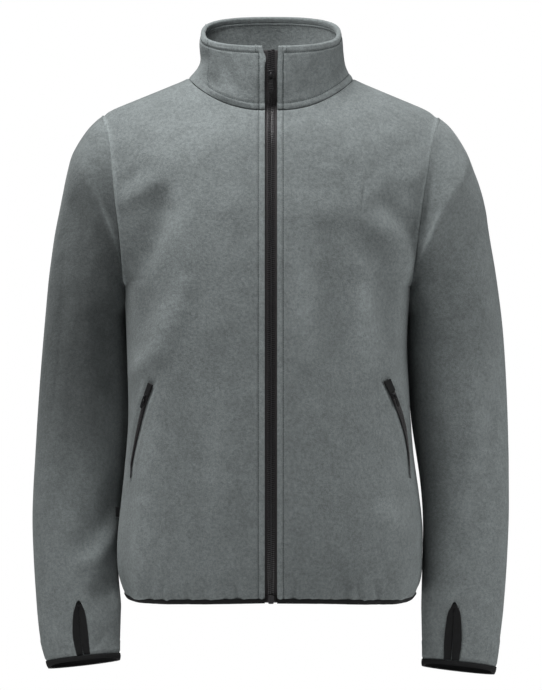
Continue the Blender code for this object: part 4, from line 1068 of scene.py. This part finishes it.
def build_outer_collar(settings):
    """The collar's outer layer, with its placket, its sewing and its rolled edges."""
    made, sheet = outer_sheet("collar_outer", "fleece_collar_outer")
    across, depth = np.abs(sheet.points[:, 0]), below_top(sheet.points)
    front = sheet.points[:, 1] < -0.04
    beside = np.where(front, across, 1.0)
    low = sheet.rim_where(lambda x, y, z: np.abs(x) > ZIP_HALF + 0.0006)
    from_low = sheet.reach(low[below_top(sheet.points[low]) > 0.03])
    still = smooth_step(0.0, 0.008, np.minimum(depth, from_low)) * smooth_step(ZIP_HALF, 0.016, beside)
    height = sheet.crease(COLLAR_CREASES) * still
    height += 0.0006 * sheet.unevenness(0.035, 4.0) * still + 0.0002 * sheet.unevenness(0.013, 1.0) * still
    height += np.where(front, placket_height(across), 0)
    past_placket = smooth_step(PLACKET_STITCH - 0.001, PLACKET_STITCH + 0.001, beside)
    height -= 0.0010 * bump_at(depth - TOPSTITCH, GROOVE_WIDTH) * past_placket
    height += 0.0005 * bump_at(depth - 0.004, 0.003)
    soft_seam = 1 - 0.85 * smooth_step(*SOFT_SEAM, sheet.points[:, 0]) * front_side(sheet.points)
    seam = 0.0003 * bump_at(from_low - 0.0045, 0.0030) - 0.0006 * bump_at(from_low, 0.0014)
    height += (seam - 0.0008 * bump_at(from_low - SEAMSTITCH, GROOVE_WIDTH)) * soft_seam
    sheet.lift(height)
    x, y, z = sheet.points.T
    high = front * (x < 0) * smooth_step(*FLAP_HEIGHTS, z)
    edge = high * smooth_step(ZIP_HALF + 0.0040, ZIP_HALF + 0.0004, across)
    drawn_in = 0.0036 * bump_at(z - 0.022, 0.013) * smooth_step(-0.070, -0.095, x)
    sheet.shift(
        x=FLAP_WIDTH * edge + drawn_in, y=0.0012 * (high * bump_at(across - ZIP_HALF - 0.0030, 0.0012) - edge)
    )

    pressed_and_painted_light = np.where(front, placket_pressed(across), 0) + 0.17 * bump_at(depth - 0.0035, 0.0035)
    # Painted highlights on the collar's front join the pale nap of the placket, the top edge and the seam.
    pressed_and_painted_light += 0.21 * bump_at(from_low - 0.0040, 0.0030) * soft_seam + painted_light_patches(sheet, COLLAR_PAINTED_LIGHT_PATCHES)
    add_attribute(made.data, "pressed_and_painted_light", np.clip(pressed_and_painted_light, 0, 1))
    lines = {
        "placket": (np.where((depth > 0.0075) | (beside > 0.02), beside, 0.0), PLACKET_STITCH),
        "top": (np.where(beside > PLACKET_STITCH - 0.0005, depth, 0), TOPSTITCH),
        "seam": (np.where((beside > ZIP_HALF + 0.001) & (soft_seam > 0.5), from_low, 0), SEAMSTITCH),
    }
    for name, (values, level) in lines.items():
        stitch_runs[f"collar_{name}"] = sheet.level_line(values, level)
    roll_over(made, sheet)
    finish_cloth(made, settings.cloth * 0.9, 0.0007)
    return complete(made, fleece_finish(settings), "fleece", "collar_outer")


def build_inner_collar(settings):
    """The collar's inner layer, up to the edge that is rolled over it."""
    made, sheet = outer_sheet("collar_inner", "fleece_collar_inner")
    cut_below_top(made, 0.0082)
    sheet.read()
    from_edge = sheet.reach(sheet.rim[below_top(sheet.points[sheet.rim]) < 0.010])
    sheet.lift(0.0004 * sheet.unevenness(0.03, 8.0) * smooth_step(0, 0.01, sheet.reach(sheet.rim)))
    add_attribute(made.data, "pressed_and_painted_light", 0.1 * bump_at(from_edge, 0.003))
    stitch_runs["collar_inside"] = [
        [(point - normal * 0.0024, -normal) for point, normal in run]
        for run in sheet.level_line(np.where(sheet.points[:, 1] > -0.05, from_edge, 1), 0.0016)
    ]
    finish_cloth(made, 0.0020, 0.0007)
    return complete(made, fleece_finish(settings), "fleece", "collar_inner")


# ---------------------------------------------------------------- bindings
# A thumb slot's binding: the height over which its edges are evened, how deep its middle lies behind the cloth, how far
# a wide one stands out, where its closed edge falls as a share of the half width, and how much wider it is made.
SLOT_STEP = 0.0045
SLOT_DEPTH = 0.0030
SLOT_OVER = 0.0016
SLIT_SHARE = -0.06
SLOT_WIDTH = {"right": 1.04, "left": 1.17}


def even_hem_band(sheet):
    """Brings the hem's binding to its even line and width."""
    share = sheet.height_share(turned(sheet.points))
    level = hem_line(sheet.points) - HEM_ROUNDING + (HEM_HEIGHT + HEM_ROUNDING) * share
    sheet.shift(z=level - sheet.points[:, 2])


def open_cuff_band(sheet):
    """Draws up the front of a cuff's lower edge, so that the opening shows below it."""
    middle = (sheet.points[:, 0].min() + sheet.points[:, 0].max()) / 2
    share = sheet.height_share(turned(sheet.points - (middle, 0, 0), (0.050, CUFF_HALF), CUFF_MIDDLE))
    ahead = np.clip((CUFF_MIDDLE - sheet.points[:, 1]) / CUFF_HALF, 0, 1)
    sheet.shift(z=CUFF_RISE * smooth_step(0, 0.9, ahead) * (1 - share))


def close_slot(sheet, wider):
    """Draws a slot's binding in behind its opening, so that its edges meet in a slit."""
    x, y, z = sheet.points.T
    low, high = sheet.extremes(z, x, SLOT_STEP)
    middle, half = (low + high) / 2, (high - low) / 2
    share = np.abs(x - middle) / np.maximum(half, 1e-4)
    inner = np.minimum(sheet.extremes(z, share, SLOT_STEP)[0], 0.85)
    drawn = SLIT_SHARE + (1 - SLIT_SHARE) * (share - inner) / (1 - inner)
    drawn = np.clip(np.where(half > 0.003, drawn, share), 0, 1)
    sheet.shift(
        x=middle + np.sign(x - middle) * drawn * half * wider - x,
        y=SLOT_DEPTH * (1 - drawn) ** 0.7 * (half > 0.003) - SLOT_OVER * (wider > 1.1),
    )


def build_binding(node, name, settings, thickness, shape, levels=3, fine=smooth_through):
    """A stretch binding in its even shape, full between its edges."""
    made, sheet = outer_sheet(node, name, levels=levels, fine=fine)
    shape(sheet)
    bulge = 0.0006 * smooth_step(0, 0.0032, sheet.reach(sheet.rim)) + 0.00015 * sheet.unevenness(0.006, 3.0)
    sheet.lift(bulge - 0.0003)
    finish_cloth(made, thickness, 0.0012, 3)
    return complete(made, binding_finish(settings), "stretch_binding", node)


# ---------------------------------------------------------------- repeated small shapes
# A stitch's width and height, its share of the distance to the next, and how far its middle is above the cloth.
STITCH_SIZE = (0.00085, 0.00070)
STITCH_SHARE = 0.84
STITCH_LIFT = 0.0001


def repeated(name, template, places):
    """One mesh with a copy of the template at each 4x4 place. The template is removed."""
    mesh = template.data
    points = np.c_[coordinates(mesh), np.ones(len(mesh.vertices))]
    faces = [tuple(face.vertices) for face in mesh.polygons]
    count = len(points)
    everywhere = np.concatenate([(points @ np.array(place).T)[:, :3] for place in places])
    every_face = [tuple(i + count * k for i in face) for k in range(len(places)) for face in faces]
    bpy.data.objects.remove(template)
    return new_object(name, new_mesh(name, everywhere.tolist(), every_face))


def along_run(run, pitch, start=0.0):
    """Even places along a run of (point, normal): each place, its normal and its direction."""
    points = np.array([point for point, _ in run])
    normals = np.array([normal for _, normal in run])
    steps = np.r_[0, np.cumsum(np.linalg.norm(np.diff(points, axis=0), axis=1))]
    places = np.arange(start, steps[-1], pitch)

    def at(rows, shift=0.0):
        return np.stack([np.interp(places + shift, steps, column) for column in rows.T], 1)

    ahead = at(points, pitch * 0.3) - at(points, -pitch * 0.3)
    return [
        (Vector(place), Vector(normal).normalized(), Vector(way).normalized())
        for place, normal, way in zip(at(points), at(normals), ahead)
    ]


def axes_matrix(x, y, z, place):
    """The matrix that takes a shape's own axes to these directions, and its origin to the place."""
    rows = [(x[k], y[k], z[k], place[k]) for k in range(3)]
    return Matrix((*rows, (0, 0, 0, 1)))


def new_solid(kind, name, scale, place=(0, 0, 0), **settings):
    """A primitive shape in this scale, with its scale and place kept in its mesh."""
    bpy.ops.object.select_all(action="DESELECT")
    getattr(bpy.ops.mesh, f"primitive_{kind}_add")(**settings)
    made = bpy.context.object
    made.name = made.data.name = name
    made.location, made.scale = place, scale
    bpy.ops.object.transform_apply(location=True, rotation=False, scale=True)
    return made


def build_stitching(name, runs, settings):
    """A row of stitches along each run, half sunk in the cloth."""
    places = []
    for run in runs:
        for point, normal, ahead in along_run(run, settings.stitch, settings.stitch * 0.5):
            side = normal.cross(ahead).normalized()
            out = ahead.cross(side)
            places.append(axes_matrix(side, out, ahead, point + out * STITCH_LIFT))
    if not places:
        raise RuntimeError(f"{name} has no stitches")
    size = (*STITCH_SIZE, settings.stitch * STITCH_SHARE)
    stitch = new_solid("uv_sphere", "stitch", size, segments=6, ring_count=5, radius=0.5)
    made = repeated(name, stitch, places)
    made.data.shade_smooth()
    return complete(made, thread_finish(settings), None)


# ---------------------------------------------------------------- small hard parts
def shape_rows(made, axis, factors):
    """Cuts a box into even rows across an axis, and widens each cut from the low end up by its x, y and z factors."""
    pick(made, "EDGE", lambda a, b: abs((b - a)[axis]) > 0.99 * (b - a).length)
    bpy.ops.mesh.subdivide(number_cuts=len(factors) - 2)
    bpy.ops.object.mode_set(mode="OBJECT")
    levels = [point.co[axis] for point in made.data.vertices]
    low, tall = min(levels), max(levels) - min(levels)
    for k, factor in enumerate(factors):
        level = low + tall * k / (len(factors) - 1)
        pick(made, "VERT", lambda co, level=level: abs(co[axis] - level) < tall * 0.01)
        bpy.ops.transform.resize(value=factor, center_override=(0, 0, 0))
    bpy.ops.object.mode_set(mode="OBJECT")


def joined(*pieces):
    """Joins pieces into the first of them."""
    only(*pieces)
    bpy.ops.object.join()
    return pieces[0]


def put(made, matrix):
    """Takes a finished piece to its place, which stays in its mesh."""
    only(made)
    made.matrix_world = matrix
    bpy.ops.object.transform_apply(location=True, rotation=True, scale=True)


# ---------------------------------------------------------------- zips
SliderSize = namedtuple(
    "SliderSize", "width length height crown_length crown_height crown_width pull_width pull_length"
)
MAIN_SLIDER = SliderSize(0.0092, 0.0120, 0.0030, 0.0078, 0.0036, 0.0014, 0.0066, 0.0240)
POCKET_SLIDER = SliderSize(0.0056, 0.0080, 0.0020, 0.0060, 0.0030, 0.0012, 0.0042, 0.0160)
CROWN_WALL = 0.0010
CROWN_SUNK = 0.0002
PULL_THICK = 0.0010
# How wide each piece is at even steps from its low end up, as shares of its full width, and the steps that have ribs.
SLIDER_WIDTHS = (0.70, 0.74, 0.76, 0.78, 0.86, 0.95, 1.0, 0.98, 0.90)
PULL_WIDTHS = (0.80, 0.95, 1, 1, 1, 1, 1, 1, 0.98, 0.93, 0.90, 0.92, 0.96, 1.0, 0.98, 0.92, 0.80)
PULL_RIBS = (3, 5, 7)
BOX_WIDTHS = (0.86, 0.97, 1, 1, 1, 0.97, 0.90)
# One tooth: its size, its middle, and how wide it is at even steps from its foot to its head.
TOOTH_SIZE = (0.0039, 0.0013, 0.00115)
TOOTH_MIDDLE = (0.00145, 0.00065, 0)
TOOTH_WIDTHS = [(1, 1.0, 0.8), (1, 1.05, 1.0), (1, 0.62, 0.62), (1, 0.70, 0.72), (1, 1.0, 1.0), (1, 0.75, 0.8)]
POCKET_TOOTH, POCKET_PITCH = 0.62, 0.0020
# A pocket's rows of teeth: the way that each faces, and how far down the zip its first tooth is.
POCKET_ROWS = (("near", 1, 0.028), ("far", -1, 0.029))
# How far up a tape its first tooth is, how far the tapes part above the slider, and between which heights.
FIRST_TOOTH = 0.0115
TAPE_SPREAD = 0.0042
SPREAD_HEIGHTS = (0.003, 0.033)
# How far a pocket's teeth, tape and garage lie above the bed of its mouth.
TEETH_LIFT, TAPE_LIFT, GARAGE_LIFT = 0.0019, 0.0022, 0.0038
GARAGE_LENGTH = 0.0172
RIBBON_STEP, RIBBON_COLUMNS = 0.0016, 5


def pull_frame(joint_name, pull_node):
    """The pull's bar, and the directions across the tape, out from it and up along it."""
    joint = next(row for row in frame["joints"] if row["name"] == joint_name)
    bar, across = Vector(joint["pos_m"]), Vector(joint["axis"]).normalized()
    low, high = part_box(pull_node)
    up = bar - (Vector(low) + Vector(high)) / 2
    up = (up - across * up.dot(across)).normalized()
    return bar, across, up.cross(across), up


def build_slider(name, node, size, place):
    """A slider body that narrows towards its foot, with its crown arched over the middle."""
    bar, across, out, up = place
    body = new_solid(
        "cube", name, (size.width, size.height, size.length), (0, size.height / 2, 0), size=1
    )
    shape_rows(body, Z, [(width, 1, 1) for width in SLIDER_WIDTHS])
    pick(body, "FACE", lambda centre, normal: normal.y > 0.9)
    bpy.ops.mesh.inset(thickness=size.width * 0.10, depth=-size.height * 0.05)
    middle, reach = size.height / 2, size.height * 0.4
    pick(body, "FACE", lambda centre, normal: abs(normal.x) > 0.8 and abs(centre.y - middle) < reach)
    bpy.ops.mesh.inset(thickness=size.height * 0.26, depth=-size.width * 0.07)
    bpy.ops.object.mode_set(mode="OBJECT")
    round_edges(body, size.height * 0.13)

    radius = (size.crown_length - CROWN_WALL) / 2
    crown = new_solid("plane", "crown", (size.crown_width, CROWN_WALL * 1.05, 1), size=1)
    with editing(crown):
        bpy.ops.transform.translate(value=(0, radius, 0))
        bpy.ops.mesh.spin(steps=14, angle=math.pi, center=(0, 0, 0), axis=(1, 0, 0))
        bpy.ops.mesh.select_all(action="SELECT")
        bpy.ops.mesh.normals_make_consistent(inside=False)
    ends = [point.co.z for point in crown.data.vertices]
    turn = -1 if abs(min(ends)) > max(ends) else 1
    flat = turn * (size.crown_height - CROWN_WALL / 2) / radius
    put(crown, Matrix(((1, 0, 0, 0), (0, 0, flat, size.height - CROWN_SUNK), (0, -turn, 0, 0), (0, 0, 0, 1))))
    round_edges(crown, 0.0002, 2, 40)
    made = joined(body, crown)
    seat = bar - out * (size.height + (size.crown_height - CROWN_WALL) / 2)
    put(made, axes_matrix(across, out, up, seat))
    return complete(made, metal_finish(), "zip_metal", node)


def build_pull(name, node, body, size, place):
    """A rubber pull with a window for the crown and ribs for the fingers."""
    bar, across, out, up = place
    top = PULL_THICK / 2
    low = top - size.pull_length
    step = size.pull_length / (len(PULL_WIDTHS) - 1)
    made = new_solid(
        "cube", name, (size.pull_width, PULL_THICK, size.pull_length), (0, 0, top - size.pull_length / 2), size=1
    )
    shape_rows(made, Z, [(width, 1, 1) for width in PULL_WIDTHS])
    window_top = top - step * 0.6
    window_foot = window_top - (size.crown_length + 0.0006)
    pick(made, "FACE", lambda centre, normal: abs(normal.y) > 0.9 and window_foot < centre.z < window_top)
    bpy.ops.mesh.inset(thickness=size.pull_width * 0.19, depth=0)
    bpy.ops.mesh.bridge_edge_loops()
    for k in PULL_RIBS:
        level = low + step * (k + 0.5)
        pick(made, "FACE", lambda centre, normal: abs(normal.y) > 0.9 and abs(centre.z - level) < step * 0.3)
        bpy.ops.mesh.inset(thickness=step * 0.16, depth=0.00028, use_individual=True)
    bpy.ops.object.mode_set(mode="OBJECT")
    round_edges(made, 0.00018, 2, 35)
    put(made, axes_matrix(across, out, up, bar))
    return complete(made, rubber_finish(), "pull_tab", node, body=body)


def build_teeth(name, runs, side, pitch, start, scale, opening=lambda point: 0.0):
    """A row of teeth along a tape's inner edge. Opening gives how far a tooth has moved off the middle."""
    places = []
    for run in runs:
        for point, normal, ahead in along_run(run, pitch, start):
            inward = normal.cross(ahead).normalized()
            if inward.x * side < 0:
                inward = -inward
            point = point + inward * opening(point)
            places.append(axes_matrix(inward, normal, inward.cross(normal), point - normal * 0.0001))
    size, middle = ([scale * value for value in row] for row in (TOOTH_SIZE, TOOTH_MIDDLE))
    tooth = new_solid("cube", "tooth", size, middle, size=1)
    shape_rows(tooth, X, TOOTH_WIDTHS)
    return complete(repeated(name, tooth, places), tooth_finish(), "zip_metal")


def ribbon(name, run, width, lift):
    """A strip of cloth that follows a run of (point, normal). Width gives how wide it is at a place."""
    points, faces = [], []
    places = along_run(run, RIBBON_STEP)
    for point, normal, ahead in places:
        across = normal.cross(ahead).normalized()
        for k in range(RIBBON_COLUMNS):
            points.append(point + across * width(point) * (k / (RIBBON_COLUMNS - 1) - 0.5) + normal * lift)
    for row in range(len(places) - 1):
        for k in range(RIBBON_COLUMNS - 1):
            a = row * RIBBON_COLUMNS + k
            faces.append((a, a + RIBBON_COLUMNS, a + RIBBON_COLUMNS + 1, a + 1))
    made = new_object(name, new_mesh(name, points, faces))
    middle = made.data.polygons[len(faces) // 2]
    if middle.normal.dot(places[len(places) // 2][1]) < 0:
        with editing(made):
            bpy.ops.mesh.flip_normals()
    return made


def tape_spread(height):
    """How far each tape has parted from the middle at a height."""
    return TAPE_SPREAD * smooth_step(*SPREAD_HEIGHTS, height)


def build_tape(word, settings):
    """One tape of the front zip with its row of teeth, which parts from the other above the slider."""
    side = SIDES[word]
    made, sheet = outer_sheet(f"zip_tape_{word}", f"woven_tape_{word}", levels=2, sharpness=80)
    across, z = sheet.points[:, 0] * side, sheet.points[:, 2]
    low = smooth_step(-0.655, -0.668, z) * smooth_step(0.0050, 0.0072, across)
    inner = smooth_step(-0.650, -0.662, z) * smooth_step(0.0035, 0.0012, across)
    spread = tape_spread(z)
    pulled = spread * smooth_step(ZIP_HALF + 0.001, spread + 0.0005, across) + 0.0009 * inner
    sheet.shift(
        x=side * (0.0024 * low - pulled), y=0.0006 * (spread > 0.0005) * smooth_step(ZIP_HALF, 0.0, across)
    )
    sheet.lift(0.0003 * bump_at(across - 0.0042, 0.0007))
    runs = [run for run in sheet.level_line(across, 0.0010) if len(run) > 12]
    runs = [run if run[0][0][2] < run[-1][0][2] else run[::-1] for run in runs]
    finish_cloth(made, 0.0010, 0)
    complete(made, tape_finish(settings), "zip_tape", f"zip_tape_{word}")
    start = FIRST_TOOTH if side == RIGHT else FIRST_TOOTH + settings.tooth / 2
    build_teeth(
        f"zip_teeth_{word}", runs, side, settings.tooth, start, 1.0, lambda point: float(tape_spread(point.z))
    )
    return made


def build_pocket(word, settings):
    """A pocket's zip: two tapes with their teeth, a garage at the top, a slider and its pull."""
    side = SIDES[word]
    run = max(pocket_runs[word], key=len)
    if run[0][0][2] < run[-1][0][2]:
        run = run[::-1]
    top_z, low_z = POCKETS[side][1], POCKETS[side][3]

    def width(point):
        return 2 * float(pocket_half((top_z - point.z) / (top_z - low_z), side))

    tape = ribbon(f"pocket_tape_{word}", run, width, TAPE_LIFT)
    finish_cloth(tape, 0.0010, 0)
    complete(tape, pocket_finish(settings), "zip_tape", f"pocket_zip_{word}")
    raised = [(point + normal * TEETH_LIFT, normal) for point, normal in run]
    for row, turn, start in POCKET_ROWS:
        build_teeth(f"pocket_teeth_{row}_{word}", [raised], turn, POCKET_PITCH, start, POCKET_TOOTH)
    cover = [place for place in run if place[0][2] > run[0][0][2] - GARAGE_LENGTH]
    garage = ribbon(f"garage_{word}", cover, lambda point: 2.1 * POCKET_HALF[side][0], GARAGE_LIFT)
    finish_cloth(garage, 0.0012, 0.0004)
    complete(garage, binding_finish(settings), "stretch_binding", f"pocket_garage_{word}")
    slider, pull = f"pocket_slider_{word}", f"pocket_pull_{word}"
    place = pull_frame(f"{pull}_swing", pull)
    build_slider(f"{slider}_painted", slider, POCKET_SLIDER, place)
    build_pull(f"{pull}_ribbed", pull, f"{pull}_body", POCKET_SLIDER, place)


def build_box():
    """The moulded box that joins the two tapes at the hem, with its pin slot."""
    low, high = (Vector(corner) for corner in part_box("zip_box"))
    made = new_solid("cube", "insertion_box", high - low, size=1)
    shape_rows(made, Z, [(width, 1, 1) for width in BOX_WIDTHS])
    pick(made, "FACE", lambda centre, normal: normal.y < -0.9)
    bpy.ops.mesh.inset(thickness=0.0011, depth=-0.0003)
    bpy.ops.object.mode_set(mode="OBJECT")
    round_edges(made, 0.0004)
    put(made, Matrix.Translation((low + high) / 2))
    return complete(made, tooth_finish(), "zip_metal", "zip_box")


def build_tab(settings):
    """A small folded tab of binding, blank on both faces, caught in the side seam."""
    made = copy_of_part("seam_tab", "folded_tab")
    with editing(made):
        bpy.ops.mesh.subdivide(number_cuts=3)
    round_edges(made, 0.0003)
    complete(made, binding_finish(settings), "stretch_binding", "seam_tab")
    return made


# ---------------------------------------------------------------- stage
# name, place, what it looks at, size, share of the power
STUDIO_LIGHTS = [
    ("high_light", (-0.335, -0.399, 2.654), (0, 0, -0.30), 1.0, 0.259),
    ("key_light", (-0.375, -0.650, 1.179), (0, 0, -0.12), 0.8, 0.355),
    ("right_light", (1.2, -0.2, -0.3), (0, 0, -0.3), 0.6, 0.063),
    ("high_right_light", (0.9, -0.9, 0.2), (0.2, 0, -0.2), 0.6, 0.017),
    ("low_left_light", (-0.7, -0.5, -1.1), (-0.25, 0, -0.55), 0.6, 0.0275),
    ("low_right_light", (0.7, -0.5, -1.1), (0.25, 0, -0.55), 0.6, 0.0147),
]
FLOOR_RADIUS, FLOOR_LEVEL = 4.6, -1.35
SENSOR = 36.0
# The camera's distance and height, and how much of the jacket's middle plane its picture takes in.
CAMERA_AWAY, CAMERA_LEVEL, CAMERA_VIEW = 4.5, -0.3511, 0.9108


def look_at(made, place, target):
    """Puts a light or a camera at a place and turns it to its target."""
    made.location = place
    made.rotation_euler = (Vector(target) - Vector(place)).to_track_quat("-Z", "Y").to_euler()


def add_light(name, place, target, size, power):
    """A square light that shines on its target."""
    light = bpy.data.lights.new(name, "AREA")
    light.shape, light.size, light.size_y = "RECTANGLE", size, size
    light.energy = power
    look_at(new_object(name, light), place, target)


def build_world(ambient):
    """Surroundings that look white and light the jacket only a little."""
    world = bpy.data.worlds.new("studio")
    bpy.context.scene.world = world
    world.use_nodes = True
    nodes, links = world.node_tree.nodes, world.node_tree.links
    nodes.clear()
    ray, mix, out = (nodes.new(f"ShaderNode{kind}") for kind in ("LightPath", "MixShader", "OutputWorld"))
    links.new(ray.outputs["Is Camera Ray"], mix.inputs[0])
    for socket, strength in ((1, ambient), (2, 1.0)):
        background = nodes.new("ShaderNodeBackground")
        background.inputs["Color"].default_value = (1, 1, 1, 1)
        background.inputs["Strength"].default_value = strength
        links.new(background.outputs[0], mix.inputs[socket])
    links.new(mix.outputs[0], out.inputs[0])


# ---------------------------------------------------------------- operators
class Step:
    """What the operators share: each builds its pieces from the scene's settings."""

    def execute(self, context):
        self.build(context.scene.jacket)
        return {"FINISHED"}


class JACKET_OT_fronts(Step, bpy.types.Operator):
    """Builds the two fronts, with their plackets, pocket edges and hem puckers."""

    bl_idname = "jacket.fronts"
    bl_label = "Fronts"

    def build(self, settings):
        for word in SIDES:
            made = build_front(word, settings)


class JACKET_OT_back(Step, bpy.types.Operator):
    """Builds the back."""

    bl_idname = "jacket.back"
    bl_label = "Back"

    def build(self, settings):
        made = build_back(settings)


class JACKET_OT_sleeves(Step, bpy.types.Operator):
    """Builds the four sleeve halves."""

    bl_idname = "jacket.sleeves"
    bl_label = "Sleeves"

    def build(self, settings):
        for word in SIDES:
            for half in ("front", "back"):
                made = build_sleeve(word, half, settings)


class JACKET_OT_collar(Step, bpy.types.Operator):
    """Builds the collar: its outer layer, rolled over at the top, and its inner layer."""

    bl_idname = "jacket.collar"
    bl_label = "Collar"

    def build(self, settings):
        outer, inner = build_outer_collar(settings), build_inner_collar(settings)


class JACKET_OT_bindings(Step, bpy.types.Operator):
    """Builds the stretch bindings of the hem, the cuffs and the thumb slots."""

    bl_idname = "jacket.bindings"
    bl_label = "Bindings"

    def build(self, settings):
        made = build_binding("hem_binding", "hem_band", settings, 0.0046, even_hem_band, fine=divide)
        for word in SIDES:
            made = build_binding(f"cuff_binding_{word}", f"cuff_band_{word}", settings, 0.0030, open_cuff_band)
            made = build_binding(
                f"thumb_binding_{word}", f"thumb_band_{word}", settings, 0.0034,
                lambda sheet: close_slot(sheet, SLOT_WIDTH[word]), 2,
            )


class JACKET_OT_stitching(Step, bpy.types.Operator):
    """Sews the topstitching along the plackets and the collar."""

    bl_idname = "jacket.stitching"
    bl_label = "Topstitching"

    def build(self, settings):
        for name, runs in stitch_runs.items():
            build_stitching(f"stitching_{name}", runs, settings)


class JACKET_OT_zips(Step, bpy.types.Operator):
    """Builds the front zip and the pocket zips: tapes, teeth, sliders, pulls, garages and the box."""

    bl_idname = "jacket.zips"
    bl_label = "Zips"

    def build(self, settings):
        for word in SIDES:
            made = build_tape(word, settings)
            build_pocket(word, settings)
        place = pull_frame("zip_pull_swing", "zip_pull")
        build_slider("slider_painted", "zip_slider", MAIN_SLIDER, place)
        build_pull("pull_ribbed", "zip_pull", "zip_pull_body", MAIN_SLIDER, place)
        build_box()
        build_tab(settings)


class JACKET_OT_stage(Step, bpy.types.Operator):
    """Sets the floor, the lights, the surroundings and the camera."""

    bl_idname = "jacket.stage"
    bl_label = "Stage"

    def build(self, settings):
        scene = bpy.context.scene
        bpy.ops.object.select_all(action="DESELECT")
        bpy.ops.mesh.primitive_circle_add(
            vertices=96, radius=FLOOR_RADIUS, fill_type="NGON", location=(0, 0, FLOOR_LEVEL)
        )
        floor = bpy.context.object
        floor.name = "studio_floor"
        dress(floor, Shader("pale_floor").finish(tuple(settings.floor), Roughness=0.9, Specular_IOR_Level=0.1))
        build_world(settings.ambient)
        for name, place, target, size, share in STUDIO_LIGHTS:
            add_light(name, place, target, size, settings.light_power * share)

        camera = bpy.data.cameras.new("camera")
        camera.sensor_fit, camera.sensor_width = "AUTO", SENSOR
        camera.lens = SENSOR * CAMERA_AWAY / CAMERA_VIEW
        camera.clip_end = 60
        scene.camera = new_object("camera", camera)
        look_at(scene.camera, (0, -CAMERA_AWAY, CAMERA_LEVEL), (0, 0, CAMERA_LEVEL))
        scene.view_settings.view_transform = "Standard"
        scene.view_settings.look = "None"


class JACKET_PT_panel(bpy.types.Panel):
    """Lists the jacket's settings and its pieces."""

    bl_idname = "JACKET_PT_panel"
    bl_label = "Jacket"
    bl_space_type = "VIEW_3D"
    bl_region_type = "UI"
    bl_category = "Jacket"

    def draw(self, context):
        for name in JacketSettings.__annotations__:
            self.layout.prop(context.scene.jacket, name)
        for operator in OPERATORS:
            self.layout.operator(operator.bl_idname)


OPERATORS = [
    JACKET_OT_fronts,
    JACKET_OT_back,
    JACKET_OT_sleeves,
    JACKET_OT_collar,
    JACKET_OT_bindings,
    JACKET_OT_stitching,
    JACKET_OT_zips,
    JACKET_OT_stage,
]


def register():
    """Adds the settings, the operators and the panel to Blender."""
    for kind in (JacketSettings, *OPERATORS, JACKET_PT_panel):
        bpy.utils.register_class(kind)
    bpy.types.Scene.jacket = bpy.props.PointerProperty(type=JacketSettings)


def unregister():
    """Takes them out again."""
    del bpy.types.Scene.jacket
    for kind in (JACKET_PT_panel, *OPERATORS[::-1], JacketSettings):
        bpy.utils.unregister_class(kind)


def main():
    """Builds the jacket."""
    register()
    for operator in OPERATORS:
        group, name = operator.bl_idname.split(".")
        getattr(getattr(bpy.ops, group), name)()


if __name__ == "__main__":
    main()
